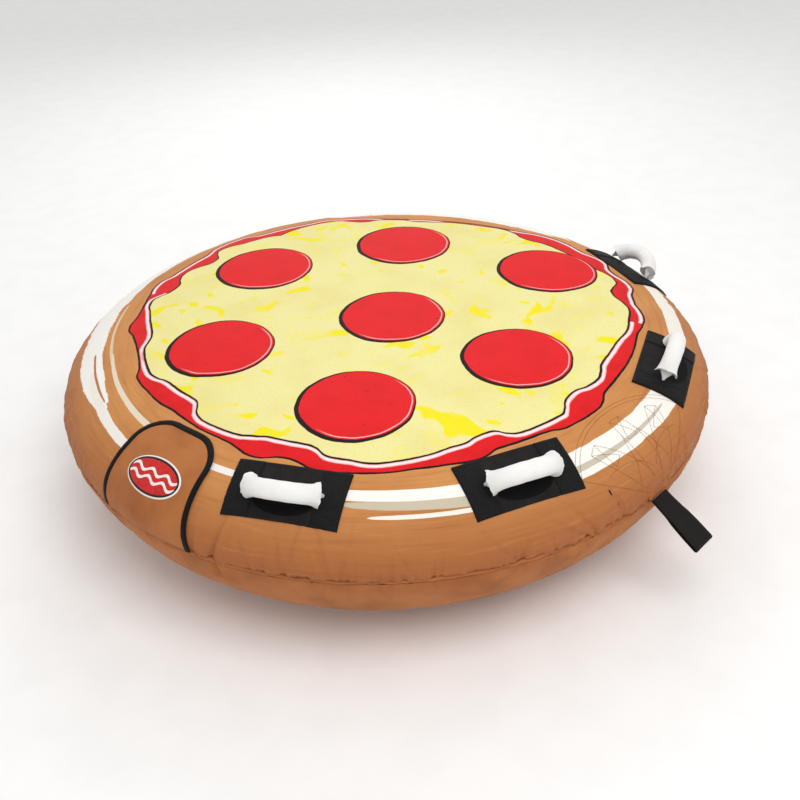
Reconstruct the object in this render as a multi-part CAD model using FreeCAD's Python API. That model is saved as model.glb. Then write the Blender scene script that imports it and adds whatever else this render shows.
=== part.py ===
"""Round covered towable tube for one rider: a ring-shaped air bladder zipped into a nylon cover.

Row frame: millimetres, +Z up, origin at the centre of the flat underside. The boat pulls towards -Y.
Angles around the tube are measured from +X towards +Y, so the tow point is at 270 degrees.
Every part that follows the cover is cut from a band that is turned around Z at some offset from the cover's skin.
"""

import FreeCAD, Part
import math
import os

V = FreeCAD.Vector
UP = V(0, 0, 1)
ORIGIN = V(0, 0, 0)

# ---- the inflated outline -------------------------------------------------------------------------------
TUBE_R = 635.0            # widest radius of the inflated cover
WIDEST_Z = 218.0          # height of the widest place
CROWN = 112.0             # from the widest place up to the flat middle of the deck
DECK_FLAT_R = 200.0       # the deck is level inside this radius
FOOT_FLAT_R = 300.0       # the underside is level inside this radius
TOP_POWERS = (5.74, 2.12)     # fullness of the upper outline, across and up
FOOT_POWERS = (2.75, 1.85)    # fullness of the lower outline
SEAM_DROP = 17.0          # the perimeter seam lies this far below the widest place
HEIGHT = WIDEST_Z + CROWN

# ---- sheet thicknesses ----------------------------------------------------------------------------------
CLOTH = 1.2               # cover cloth
BLADDER_WALL = 1.0
BLADDER_GAP = 8.0         # from the cover's skin to the bladder's skin
BLADDER_HOLE_R = 130.0    # smallest radius of the ring's middle
BLADDER_ROUND_R = 250.0   # where the ring's round inner side begins

# ---- places around the tube, in degrees -----------------------------------------------------------------
TOW_AT = 270.0
HANDLE_AT = (208.6, 246.8, 293.1, 336.8)
FLAP_AT = 185.6
ZIP_AT = 90.0

# ---- grab handles ---------------------------------------------------------------------------------------
HANDLE_R = (555.0, 555.0, 555.0, 579.0)    # radius at which each pad is centred
PAD_LONG, PAD_WIDE, PAD_THICK = 190.0, 100.0, 2.6
ANCHOR_LONG = 45.0        # webbing patch at each end of a pad
ANCHOR_THICK = 1.4
HANDLE_LEAN = (33.0, 27.0, -4.0, 31.0)    # how far outwards each handle lies, in degrees from upright
GRIP_HALF = 52.0          # half the span of the bowed foam grip
BOW_TOP = 40.0            # the bow's middle stands this far above the hinge line
BOW_R = 68.0              # radius of the bow
GRIP_R, FOAM_R = 16.0, 14.0
STRAP_WIDE, STRAP_THICK = 24.0, 3.0
STRAP_FOOT_R = 2.0        # rounded foot of the strap, on the hinge line
STRAP_FULL_AT = 16.0      # the strap has its full width from this height up
PIVOT_LIFT = 5.6          # hinge line above the skin at the pad's middle

# ---- valve and its flap ---------------------------------------------------------------------------------
VALVE_R = 606.0           # radius at which the valve is centred
VALVE_WINDOW_R = 33.0     # hole in the cover
THROAT_R = 10.5           # pump nozzle fits here
THROAT_LONG = 20.0
VALVE_BODY_R, VALVE_BASE_R, VALVE_FLANGE_R = 18.0, 23.0, 31.0
CAP_R, CAP_HUB_R, CAP_PLUG_R, CAP_PLUG_DEEP = 20.5, 14.0, 9.2, 3.0
VALVE_FACE = -5.0         # the valve's rim lies this far under the skin
FLAP_WIDE, FLAP_TOP_WIDE, FLAP_CORNER = 212.0, 172.0, 56.0
FLAP_SKEW = -11.0         # the top sits this far to one side of the foot
FLAP_TOP_R = 500.0        # radius that the flap's top edge reaches
FLAP_LIFT = 3.4           # underside of the flap above the skin
BINDING_WIDE = 12.0
TAPE_LONG, TAPE_WIDE, TAPE_THICK = 104.0, 22.0, 1.1
BADGE_HALF_LONG, BADGE_HALF_HIGH = 52.0, 31.0
FLAP_FOOT = 3.2           # the flap starts this far above the seam's line
FLAP_HINGE_OUT = 5.6      # the flap bends on a line this far outside the seam's radius

# ---- tow loop -------------------------------------------------------------------------------------------
TOW_WIDE, TOW_LONG, TOW_PLY = 50.0, 116.0, 2.6
TOW_EYE, TOW_EYE_LONG = 8.0, 62.0     # free gap and length of the loop's eye
TOW_DROOP = 31.0                      # the loop points this far below level, in degrees
TOW_FAN_R = 168.0                     # reinforcing patch
TOW_WEB_SPREAD = 34.0                 # angle between the three hidden webs

# ---- perimeter seam and zip -----------------------------------------------------------------------------
WELT_TALL, WELT_PROUD, WELT_DEEP = 6.0, 3.0, 3.0
ZIP_R = 600.0             # radius of the zip's line, on the underside
ZIP_HALF = 40.0           # half its arc, in degrees
ZIP_SLIT = 7.0            # half the width of the slit in the cover
ZIP_TAPE = 17.0           # half the width of the two tapes together
ZIP_SPLIT = 0.8           # half the gap between the two tapes
TOOTH_WIDE, TOOTH_TALL = 2.4, 2.2
SLIDER_LONG, SLIDER_HALF, SLIDER_PLATE = 15.0, 6.5, 1.3
PULL_LONG, PULL_WIDE, PULL_THICK = 34.0, 8.0, 1.6
DRAIN_R, DRAIN_HOLE_R, DRAIN_AT_R, DRAINS = 11.0, 5.0, 380.0, 4

PARTS = "parts"


def save(name, shape):
    """Write one node and report its volume."""
    shape.exportStep(f"{PARTS}/{name}.step")
    print(f"{name:26s} solids {len(shape.Solids)}  volume {shape.Volume / 1000:9.2f} cm3  valid {shape.isValid()}")


# ---- the outline as a formula ---------------------------------------------------------------------------
def top_z(r):
    across, up = TOP_POWERS
    return WIDEST_Z + CROWN * (1 - min(r / TUBE_R, 1.0) ** across) ** (1 / up)


def foot_z(r):
    across, up = FOOT_POWERS
    share = max(0.0, (r - FOOT_FLAT_R) / (TUBE_R - FOOT_FLAT_R))
    return WIDEST_Z * (1 - (1 - min(share, 1.0) ** across) ** (1 / up))


def normal_at(r, height):
    """Outward unit normal (across, up) of the outline at a radius, for top_z or foot_z."""
    step = 0.05
    slope = (height(r + step) - height(r - step)) / (2 * step)
    side = 1.0 if height is top_z else -1.0
    size = math.hypot(slope, 1.0)
    return -slope * side / size, side / size


def skin_point(r, height, offset=0.0):
    across, up = normal_at(r, height)
    return r + across * offset, height(r) + up * offset


def widest_point(offset=0.0):
    return TUBE_R + offset, WIDEST_Z


def seam_radius():
    """Radius of the lower outline at the seam's height, by halving."""
    low, high = FOOT_FLAT_R, TUBE_R
    for _ in range(50):
        middle = (low + high) / 2
        low, high = (middle, high) if foot_z(middle) < WIDEST_Z - SEAM_DROP else (low, middle)
    return low


SEAM_R = seam_radius()
SEAM_Z = WIDEST_Z - SEAM_DROP
TOP_STEPS = (0.0, 120.0, 215.0, 280.0, 330.0, 370.0, 400.0, 418.0, 428.0, 433.0)   # beyond DECK_FLAT_R
FOOT_STEPS = (0.0, 70.0, 140.0, 200.0, 250.0, 290.0, 315.0, 328.0)                 # beyond FOOT_FLAT_R


def in_plane(pairs):
    return [V(r, 0, z) for r, z in pairs]


def spline(points, start=None):
    curve = Part.BSplineCurve()
    if start is None:
        curve.interpolate(points)
    else:
        curve.interpolate(Points=points, InitialTangent=start, FinalTangent=points[-1] - points[-2])
    return curve.toShape()


def upper_line(offset, from_r=DECK_FLAT_R):
    """Points of the upper outline from a radius out to the seam."""
    radii = [DECK_FLAT_R + s for s in TOP_STEPS if DECK_FLAT_R + s > from_r + 5]
    points = [skin_point(r, top_z, offset) for r in [from_r, *radii]]
    points.append(widest_point(offset))
    points.append(skin_point(SEAM_R, foot_z, offset))
    return in_plane(points)


def lower_line(offset, from_r=FOOT_FLAT_R):
    """Points of the lower outline from a radius out to the seam."""
    radii = [FOOT_FLAT_R + s for s in FOOT_STEPS if from_r + 5 < FOOT_FLAT_R + s < SEAM_R - 2]
    points = [skin_point(r, foot_z, offset) for r in [from_r, *radii]]
    points.append(skin_point(SEAM_R, foot_z, offset))
    return in_plane(points)


def turned(face, degrees=360.0):
    return face.revolve(ORIGIN, UP, degrees)


def face_of(*edges):
    return Part.Face(Part.Wire(Part.__sortEdges__(list(edges))))


def line(a, b):
    return Part.LineSegment(a, b).toShape()


def band(points_of, inner, outer, from_r, at, half_degrees):
    """A curved plate between two offsets from the skin, turned half_degrees each side of a place."""
    low, high = points_of(inner, from_r), points_of(outer, from_r)
    plate = turned(face_of(spline(low), spline(high), line(low[0], high[0]), line(low[-1], high[-1])),
                   2 * half_degrees)
    plate.rotate(ORIGIN, UP, at - half_degrees)
    return plate


def local_frame(r, height, at):
    """Placement at a place on the skin: local X along the tube, Y down the skin, Z out of it."""
    across, up = normal_at(r, height)
    turn = math.radians(at)
    radial = V(math.cos(turn), math.sin(turn), 0)
    out = radial * across + UP * up
    down = radial * up - UP * across
    along = down.cross(out)
    spot = radial * r + UP * height(r)
    matrix = FreeCAD.Matrix(along.x, down.x, out.x, spot.x,
                            along.y, down.y, out.y, spot.y,
                            along.z, down.z, out.z, spot.z,
                            0, 0, 0, 1)
    return FreeCAD.Placement(matrix)


def placed(shape, place):
    moved = shape.copy()
    moved.Placement = place.multiply(moved.Placement)
    return moved


def block(x0, x1, y0, y1, z0, z1):
    return Part.makeBox(x1 - x0, y1 - y0, z1 - z0, V(x0, y0, z0))


def drum(radius, z0, z1, hole=0.0):
    solid = Part.makeCylinder(radius, z1 - z0, V(0, 0, z0))
    if hole:
        solid = solid.cut(Part.makeCylinder(hole, z1 - z0, V(0, 0, z0)))
    return solid


# ---- cover and bladder ----------------------------------------------------------------------------------
def top_panel():
    outer, inner = upper_line(0.0), upper_line(-CLOTH)
    lift = V(0, 0, -WELT_TALL / 2)
    outer_edge, inner_edge = outer[-1] - lift, inner[-1] - lift
    outer[-1], inner[-1] = outer_edge, inner_edge
    top, under = V(0, 0, HEIGHT), V(0, 0, HEIGHT - CLOTH)
    level = V(1, 0, 0)
    return turned(face_of(line(top, outer[0]), spline(outer, level), line(outer[-1], inner[-1]),
                          spline(inner, level), line(inner[0], under), line(under, top)))


def bottom_panel():
    outer, inner = lower_line(0.0), lower_line(-CLOTH)
    drop = V(0, 0, -WELT_TALL / 2)
    outer[-1], inner[-1] = outer[-1] + drop, inner[-1] + drop
    under, top = V(0, 0, 0), V(0, 0, CLOTH)
    level = V(1, 0, 0)
    return turned(face_of(line(under, outer[0]), spline(outer, level), line(outer[-1], inner[-1]),
                          spline(inner, level), line(inner[0], top), line(top, under)))


def welt():
    """The folded and overlocked seam allowance around the tube."""
    edge = SEAM_R + 1.0
    half = WELT_TALL / 2 - 0.2
    ring = turned(face_of(line(V(edge - WELT_DEEP, 0, SEAM_Z - half), V(edge + WELT_PROUD, 0, SEAM_Z - half)),
                          line(V(edge + WELT_PROUD, 0, SEAM_Z - half), V(edge + WELT_PROUD, 0, SEAM_Z + half)),
                          line(V(edge + WELT_PROUD, 0, SEAM_Z + half), V(edge - WELT_DEEP, 0, SEAM_Z + half)),
                          line(V(edge - WELT_DEEP, 0, SEAM_Z + half), V(edge - WELT_DEEP, 0, SEAM_Z - half))))
    gate = block(-TOW_WIDE / 2 - 3, TOW_WIDE / 2 + 3, -TUBE_R - 20, -TUBE_R + 30, 0, HEIGHT)
    return ring.cut(gate)


def ring_section(offset):
    """Closed outline of the bladder at an offset from the cover's skin."""
    shoulder_top = V(BLADDER_ROUND_R, 0, HEIGHT + offset)
    shoulder_low = V(BLADDER_ROUND_R, 0, -offset)
    inner = V(BLADDER_HOLE_R - offset - BLADDER_GAP, 0, HEIGHT / 2)
    upper = upper_line(offset, BLADDER_ROUND_R)
    upper[0] = shoulder_top
    lower = lower_line(offset, FOOT_FLAT_R)
    return Part.Wire([Part.Arc(shoulder_low, inner, shoulder_top).toShape(), spline(upper),
                      spline(list(reversed(lower))), line(lower[0], shoulder_low)])


def bladder():
    outer, inner = ring_section(-BLADDER_GAP), ring_section(-BLADDER_GAP - BLADDER_WALL)
    return turned(Part.Face(outer)).cut(turned(Part.Face(inner)))


# ---- grab handles ---------------------------------------------------------------------------------------
def bow_angle(half_span):
    return math.degrees(math.asin(half_span / BOW_R))


def turned_bow(section, half_span):
    """Sweep a face that stands at the bow's top to both sides of it."""
    centre, half = V(0, 0, BOW_TOP - BOW_R), bow_angle(half_span)
    bar = section.revolve(centre, V(0, 1, 0), 2 * half)
    bar.rotate(centre, V(0, 1, 0), -half)
    return bar


def bowed_bar(radius, half_span):
    """Round bar along the grip's bow, in the handle's frame."""
    return turned_bow(Part.Face(Part.Wire(Part.Circle(V(0, 0, BOW_TOP), V(1, 0, 0), radius).toShape())), half_span)


def handle_strap():
    """Webbing core of a handle. Its ends narrow to round feet on the hinge line, so they clear the pad as it leans."""
    foot_x = math.sqrt(BOW_R ** 2 - (BOW_R - BOW_TOP) ** 2)
    half_w, half_t = STRAP_WIDE / 2, STRAP_THICK / 2
    corners = [V(0, y, BOW_TOP + z) for y, z in ((-half_w, -half_t), (half_w, -half_t), (half_w, half_t),
                                                 (-half_w, half_t), (-half_w, -half_t))]
    bow = turned_bow(Part.Face(Part.makePolygon(corners)), BOW_R * math.sin(math.radians(bow_angle(foot_x) + 2)))
    neck, wide, high = STRAP_FOOT_R, half_w + 1, BOW_TOP + 20
    outline = [V(-90, y, z) for y, z in ((-neck, 0), (neck, 0), (wide, STRAP_FULL_AT), (wide, high),
                                         (-wide, high), (-wide, STRAP_FULL_AT), (-neck, 0))]
    strap = bow.common(Part.Face(Part.makePolygon(outline)).extrude(V(180, 0, 0)))
    feet = [Part.makeCylinder(STRAP_FOOT_R, 6, V(s * foot_x - 3, 0, 0), V(1, 0, 0)) for s in (-1, 1)]
    return strap.fuse(feet).removeSplitter()


def make_handle(number, radius, at, lean):
    frame = local_frame(radius, top_z, at)
    plate = band(upper_line, 0.3, 0.3 + PAD_THICK, radius - 90, at, 14)
    pad = plate.common(placed(block(-PAD_LONG / 2, PAD_LONG / 2, -PAD_WIDE / 2, PAD_WIDE / 2, -40, 40), frame))
    low = 0.5 + PAD_THICK
    sheet = band(upper_line, low, low + ANCHOR_THICK, radius - 90, at, 14)
    inner = PAD_LONG / 2 - ANCHOR_LONG
    patches = [sheet.common(placed(block(*sorted((s * inner, s * (PAD_LONG / 2 - 1))),
                                         -PAD_WIDE / 2 + 1, PAD_WIDE / 2 - 1, -40, 40), frame)) for s in (-1, 1)]
    strap = handle_strap()
    foam = bowed_bar(FOAM_R, GRIP_HALF - 1).cut(strap)
    sleeve = bowed_bar(GRIP_R, GRIP_HALF).cut(bowed_bar(FOAM_R + 0.1, GRIP_HALF + 2))
    tilt = FreeCAD.Placement(V(0, 0, PIVOT_LIFT), FreeCAD.Rotation(V(1, 0, 0), -lean))
    save(f"handle_{number}_pad", pad)
    save(f"handle_{number}_anchor_patches", Part.makeCompound(patches))
    for name, shape in (("strap", strap), ("foam_core", foam), ("grip_sleeve", sleeve)):
        save(f"handle_{number}_{name}", placed(placed(shape, tilt), frame))
    pivot = frame.multVec(V(0, 0, PIVOT_LIFT))
    axis = frame.Rotation.multVec(V(1, 0, 0))
    print(f"  handle {number} hinge at {tuple(round(c, 2) for c in pivot)} axis {tuple(round(c, 4) for c in axis)}")


# ---- valve ----------------------------------------------------------------------------------------------
def make_valve():
    """Welded valve with a quarter-turn cap. Returns the cutters for the cover's window and the bladder's hole."""
    frame = local_frame(VALVE_R, top_z, FLAP_AT)
    face = VALVE_FACE
    under = BLADDER_GAP + BLADDER_WALL + 0.2
    flange = band(upper_line, -under - 1.6, -under, VALVE_R - 60, FLAP_AT, 6)
    flange = flange.common(placed(drum(VALVE_FLANGE_R, -60, 30), frame))
    bore = placed(drum(VALVE_BODY_R + 0.2, -60, 30), frame)
    base = placed(drum(VALVE_BASE_R, face - 20, face - 1), frame).fuse(flange).cut(bore).removeSplitter()
    body = drum(VALVE_BODY_R, face - 24, face, THROAT_R)
    body = body.cut(drum(VALVE_BODY_R - 3, face - 24, face - THROAT_LONG))
    body = body.fuse(drum(VALVE_BASE_R, face - 0.8, face, VALVE_BODY_R - 1)).removeSplitter()
    diaphragm = drum(THROAT_R + 3.5, face - THROAT_LONG - 1.4, face - THROAT_LONG - 0.2)
    disc_top = face + 2.0
    cap = drum(CAP_R, face + 0.4, disc_top)
    cap = cap.fuse([drum(CAP_HUB_R, face + 0.4, disc_top + 1.6), drum(CAP_PLUG_R, face - CAP_PLUG_DEEP, face + 1),
                    block(-11, 11, -1.8, 1.8, disc_top, disc_top + 3.6)]).removeSplitter()
    ring = drum(CAP_HUB_R + 3, disc_top + 0.3, disc_top + 1.3, CAP_HUB_R + 0.4)
    tongue = block(-4, 4, CAP_HUB_R + 1, VALVE_BASE_R, disc_top + 0.3, disc_top + 1.3)
    post = block(-4, 4, CAP_R + 0.5, VALVE_BASE_R, face + 0.2, disc_top + 1.3)
    tether = ring.fuse([tongue, post]).common(drum(VALVE_BASE_R, face, face + 9)).removeSplitter()
    save("valve_base", base)
    for name, shape in (("valve_body", body), ("valve_diaphragm", diaphragm), ("valve_cap", cap),
                        ("valve_cap_tether", tether)):
        save(name, placed(shape, frame))
    spot = frame.multVec(V(0, 0, face))
    out = frame.Rotation.multVec(UP)
    print(f"  valve axis at {tuple(round(c, 2) for c in spot)} out {tuple(round(c, 5) for c in out)}")
    window = placed(drum(VALVE_WINDOW_R, -30, 30), frame)
    hole = placed(drum(VALVE_BASE_R + 0.3, -60, 30), frame)
    return window, hole


def tombstone(half_low, half_high, reach, corner, skew):
    """A face with a straight foot at y 0, slanting sides and a top at y reach with rounded corners."""
    foot_l, foot_r = V(-half_low, 0, 0), V(half_low, 0, 0)
    shoulder = reach - corner
    lean = skew * shoulder / reach
    half_side = half_low - (half_low - half_high) * shoulder / reach
    side_r, side_l = V(half_side + lean, shoulder, 0), V(lean - half_side, shoulder, 0)
    top_r, top_l = V(half_high - corner + skew, reach, 0), V(corner - half_high + skew, reach, 0)
    bend = corner * 0.29
    mid_r, mid_l = V(half_high - bend + skew, reach - bend, 0), V(bend - half_high + skew, reach - bend, 0)
    return Part.Face(Part.Wire([line(foot_l, foot_r), line(foot_r, side_r), Part.Arc(side_r, mid_r, top_r).toShape(),
                                line(top_r, top_l), Part.Arc(top_l, mid_l, side_l).toShape(), line(side_l, foot_l)]))


def make_flap():
    """Cloth flap over the valve, sewn into the perimeter seam and bound on its free edges."""
    turn = math.radians(FLAP_AT)
    radial = V(math.cos(turn), math.sin(turn), 0)
    along = V(math.sin(turn), -math.cos(turn), 0)
    foot = radial * (SEAM_R + 4) + UP * (SEAM_Z + FLAP_FOOT)
    head = radial * FLAP_TOP_R + UP * (top_z(FLAP_TOP_R) + 4)
    rise = head - foot
    reach = rise.Length
    rise.normalize()
    out = along.cross(rise)
    if out.dot(radial) < 0:
        along, out = along * -1, out * -1
    matrix = FreeCAD.Matrix(along.x, rise.x, out.x, foot.x, along.y, rise.y, out.y, foot.y,
                            along.z, rise.z, out.z, foot.z, 0, 0, 0, 1)
    frame = FreeCAD.Placement(matrix)

    above_seam = block(-TUBE_R - 40, TUBE_R, -TUBE_R, TUBE_R, SEAM_Z + FLAP_FOOT, HEIGHT + 20)

    def cutter(inset):
        outline = tombstone(FLAP_WIDE / 2 - inset, FLAP_TOP_WIDE / 2 - inset, reach - inset, FLAP_CORNER - inset / 2,
                            FLAP_SKEW)
        prism = outline.extrude(V(0, 0, 200))
        prism.translate(V(0, 0, -60))
        return placed(prism, frame).common(above_seam)

    def layer(low, high):
        return band(upper_line, low, high, FLAP_TOP_R - 40, FLAP_AT, 16)

    whole, field = cutter(0.0), cutter(BINDING_WIDE)
    cloth = layer(FLAP_LIFT, FLAP_LIFT + CLOTH).common(field)
    binding = layer(FLAP_LIFT - 0.6, FLAP_LIFT + CLOTH + 0.6).common(whole).cut(field)
    tape_box = placed(block(-TAPE_LONG / 2, TAPE_LONG / 2, reach - 52, reach - 52 + TAPE_WIDE, -60, 140), frame)
    hook = layer(FLAP_LIFT - 0.2 - TAPE_THICK, FLAP_LIFT - 0.2).common(tape_box)
    loop = layer(0.3, 0.3 + TAPE_THICK).common(tape_box)
    oval = Part.Ellipse(V(0, reach * 0.47, -60), BADGE_HALF_LONG, BADGE_HALF_HIGH).toShape()
    middle = placed(Part.Face(Part.Wire(oval)).extrude(V(0, 0, 200)), frame)
    badge = layer(FLAP_LIFT + CLOTH + 0.2, FLAP_LIFT + CLOTH + 1.2).common(middle)
    for name, shape in (("valve_flap", cloth), ("flap_binding", binding), ("flap_hook_tape", hook),
                        ("flap_loop_tape", loop), ("flap_badge", badge)):
        save(name, shape)
    spot = radial * (SEAM_R + FLAP_HINGE_OUT) + UP * (SEAM_Z + FLAP_FOOT)
    print(f"  flap hinge at {tuple(round(c, 2) for c in spot)} axis {tuple(round(c, 4) for c in along)}")


# ---- tow point ------------------------------------------------------------------------------------------
def tow_loop():
    """Doubled webbing with an open eye at its end, drawn from the side and pushed out to its width."""
    thick, eye_r = TOW_PLY, TOW_EYE / 2
    end_x = TOW_LONG - eye_r - thick
    split = end_x - TOW_EYE_LONG
    root = 5.0
    outer = eye_r + thick
    half = thick

    def side(sign):
        return [V(0, root, sign * half), V(0, split - 16, sign * half), V(0, split + 8, sign * outer),
                V(0, end_x, sign * outer)]

    low, high = side(-1), side(1)
    tip = Part.Arc(high[-1], V(0, end_x + outer, 0), low[-1]).toShape()
    shell = Part.Wire([line(low[0], low[1]), line(low[1], low[2]), line(low[2], low[3]), tip,
                       line(high[3], high[2]), line(high[2], high[1]), line(high[1], high[0]), line(high[0], low[0])])
    nose = V(0, split - 10, 0)
    up_in, low_in = V(0, split + 8, eye_r), V(0, split + 8, -eye_r)
    up_end, low_end = V(0, end_x, eye_r), V(0, end_x, -eye_r)
    eye = Part.Wire([line(nose, up_in), line(up_in, up_end),
                     Part.Arc(up_end, V(0, end_x + eye_r, 0), low_end).toShape(), line(low_end, low_in),
                     line(low_in, nose)])
    width = V(TOW_WIDE, 0, 0)
    solid = Part.Face(shell).extrude(width).cut(Part.Face(eye).extrude(width))
    solid.translate(V(-TOW_WIDE / 2, 0, 0))
    return solid


def make_tow_point():
    pivot = V(0, -(SEAM_R + 1.0), SEAM_Z)
    droop = FreeCAD.Rotation(V(1, 0, 0), TOW_DROOP).multiply(FreeCAD.Rotation(UP, 180))
    save("tow_loop", placed(tow_loop(), FreeCAD.Placement(pivot, droop)))
    root = block(-TOW_WIDE / 2, TOW_WIDE / 2, -(SEAM_R - 2), -(SEAM_R - 34), SEAM_Z - TOW_PLY, SEAM_Z + TOW_PLY)
    bladder_side = turned(Part.Face(ring_section(-BLADDER_GAP + 0.6)))
    save("tow_loop_root", root.cut(bladder_side))
    fan = placed(Part.makeCylinder(TOW_FAN_R, 400, V(0, 0, -200)),
                 FreeCAD.Placement(V(0, -SEAM_R, SEAM_Z + 6), FreeCAD.Rotation(V(1, 0, 0), 45)))
    above = block(-300, 300, -TUBE_R - 40, 0, SEAM_Z + 5, HEIGHT + 20)
    fan = fan.common(above)
    save("tow_fan_patch", band(upper_line, -3.0, -1.9, 430, TOW_AT, 20).common(fan))
    layer = band(upper_line, -5.4, -3.3, 430, TOW_AT, 20)
    for name, lean in (("left", -TOW_WEB_SPREAD), ("centre", 0.0), ("right", TOW_WEB_SPREAD)):
        web = block(-TOW_WIDE / 4, TOW_WIDE / 4, 12, TOW_FAN_R - 8, -200, 200)
        web.rotate(ORIGIN, UP, lean)
        web = web.cut(block(-300, 300, -300, 12 + abs(lean), -300, 300))
        web = placed(web, FreeCAD.Placement(V(0, -SEAM_R, SEAM_Z + 6), FreeCAD.Rotation(V(1, 0, 0), 45)))
        save(f"tow_web_{name}", layer.common(web).common(above))
    hood = placed(block(-TOW_WIDE / 2 - 4, TOW_WIDE / 2 + 4, -60, 60, -200, 200),
                  FreeCAD.Placement(V(0, -SEAM_R, SEAM_Z), FreeCAD.Rotation(V(1, 0, 0), 45)))
    save("tow_loop_hood", band(upper_line, 0.3, 1.5, 500, TOW_AT, 8).common(hood).common(
        block(-100, 100, -TUBE_R - 40, 0, SEAM_Z + 4.5, SEAM_Z + 21)))
    print(f"  tow hinge at {tuple(round(c, 2) for c in pivot)}")


# ---- zip ------------------------------------------------------------------------------------------------
def zip_band(low, high, side_from, side_to, at, half_degrees):
    """A straight-sided ring section in the zip's own plane: low to high out of the skin, and across it."""
    across, up = normal_at(ZIP_R, foot_z)
    out = V(across, 0, up)
    side = V(-up, 0, across)
    spot = V(ZIP_R, 0, foot_z(ZIP_R))
    corners = [spot + out * a + side * b for a, b in ((low, side_from), (high, side_from), (high, side_to),
                                                      (low, side_to), (low, side_from))]
    ring = turned(Part.Face(Part.makePolygon(corners)), 2 * half_degrees)
    ring.rotate(ORIGIN, UP, at - half_degrees)
    return ring


def make_zip():
    tape_low, tape_high = 1.4, 2.4
    tapes = [zip_band(tape_low, tape_high, *sorted((s * ZIP_SPLIT, s * ZIP_TAPE)), ZIP_AT, ZIP_HALF) for s in (-1, 1)]
    save("zip_tapes", Part.makeCompound(tapes))
    chain = [zip_band(tape_high + 0.1, tape_high + 0.1 + TOOTH_TALL,
                      *sorted((s * ZIP_SPLIT, s * (ZIP_SPLIT + TOOTH_WIDE))), ZIP_AT, ZIP_HALF - 1) for s in (-1, 1)]
    save("zip_teeth", Part.makeCompound(chain))
    start = ZIP_AT - ZIP_HALF + 3
    half = math.degrees(SLIDER_LONG / 2 / ZIP_R)
    roof = tape_high + TOOTH_TALL + 0.6
    top = zip_band(roof, roof + SLIDER_PLATE, -SLIDER_HALF, SLIDER_HALF, start, half)
    web = zip_band(tape_low - 1.4, roof + 0.5, -0.4, 0.4, start, half)
    under = zip_band(tape_low - 0.6 - SLIDER_PLATE, tape_low - 0.6, -SLIDER_HALF + 1, SLIDER_HALF - 1, start, half)
    lips = [zip_band(tape_high + 0.5, roof + 0.5, *sorted((s * (SLIDER_HALF - 1.4), s * SLIDER_HALF)), start, half)
            for s in (-1, 1)]
    crown = roof + SLIDER_PLATE
    ears = [zip_band(crown - 0.3, crown + 3.6, *sorted((s * 2.6, s * 4.4)), start, half / 3) for s in (-1, 1)]
    save("zip_slider", top.fuse([web, under, *lips, *ears]).removeSplitter())
    across, up = normal_at(ZIP_R, foot_z)
    turn = math.radians(start)
    radial = V(math.cos(turn), math.sin(turn), 0)
    out, side = radial * across + UP * up, radial * -up + UP * across
    along = side.cross(out)
    spot = radial * ZIP_R + UP * foot_z(ZIP_R) + out * (crown + 2.0)
    matrix = FreeCAD.Matrix(along.x, side.x, out.x, spot.x, along.y, side.y, out.y, spot.y,
                            along.z, side.z, out.z, spot.z, 0, 0, 0, 1)
    frame = FreeCAD.Placement(matrix)
    pin = Part.makeCylinder(1.1, 4.4, V(0, -2.2, 0), V(0, 1, 0))
    half = PULL_THICK / 2
    tab = block(-half, half, -PULL_WIDE / 2, PULL_WIDE / 2, 3.8, PULL_LONG)
    neck = block(-half, half, -2.0, 2.0, 0, 6)
    window = block(-4, 4, -2, 2, PULL_LONG - 14, PULL_LONG - 5)
    save("zip_pull", placed(tab.fuse([neck, pin]).cut(window).removeSplitter(), frame))
    stops = [zip_band(tape_high + 0.1, tape_high + 1.9, -3.4, 3.4, ZIP_AT + s * (ZIP_HALF - 0.5), 0.25)
             for s in (-1, 1)]
    save("zip_stops", Part.makeCompound(stops))
    print(f"  pull hinge at {tuple(round(c, 2) for c in spot)} axis {tuple(round(c, 4) for c in side)}")
    return zip_band(-6, 12, -ZIP_SLIT, ZIP_SLIT, ZIP_AT, ZIP_HALF - 1)


def make_drains():
    """Brass grommets that let water out of the cover."""
    rings, holes = [], []
    for index in range(DRAINS):
        frame = local_frame(DRAIN_AT_R, foot_z, 45 + 360 * index / DRAINS)
        ring = drum(DRAIN_R, 0.2, 1.2, DRAIN_HOLE_R).fuse(drum(DRAIN_HOLE_R + 1.5, -3.4, 0.4, DRAIN_HOLE_R))
        ring = ring.fuse(drum(DRAIN_R - 2, -3.4, -2.2, DRAIN_HOLE_R)).removeSplitter()
        rings.append(placed(ring, frame))
        holes.append(placed(drum(DRAIN_HOLE_R + 1.8, -10, 10), frame))
    save("drain_grommets", Part.makeCompound(rings))
    return holes


def main():
    os.makedirs(PARTS, exist_ok=True)
    window, hole = make_valve()
    slit = make_zip()
    drains = make_drains()
    top = top_panel().cut(window)
    bottom = bottom_panel().cut(slit).cut(Part.makeCompound(drains))
    save("cover_top_panel", top)
    save("cover_bottom_panel", bottom)
    save("perimeter_welt", welt())
    save("air_bladder", bladder().cut(hole))
    make_flap()
    make_tow_point()
    for number, (radius, at, lean) in enumerate(zip(HANDLE_R, HANDLE_AT, HANDLE_LEAN), 1):
        make_handle(number, radius, at, lean)
    print(f"seam at radius {SEAM_R:.2f}, height {SEAM_Z:.2f}")


main()
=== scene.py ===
# %% [markdown]
# # Round covered towable tube
# The looks of a pizza-printed deck tube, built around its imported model. Everything is in metres in the row
# frame: the origin is the middle of the flat underside, +Z is up, and the boat pulls towards -Y.

# %% Load the frame
import math

import bmesh
import bpy
import numpy as np
from mathutils import Matrix, Vector, noise


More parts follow.
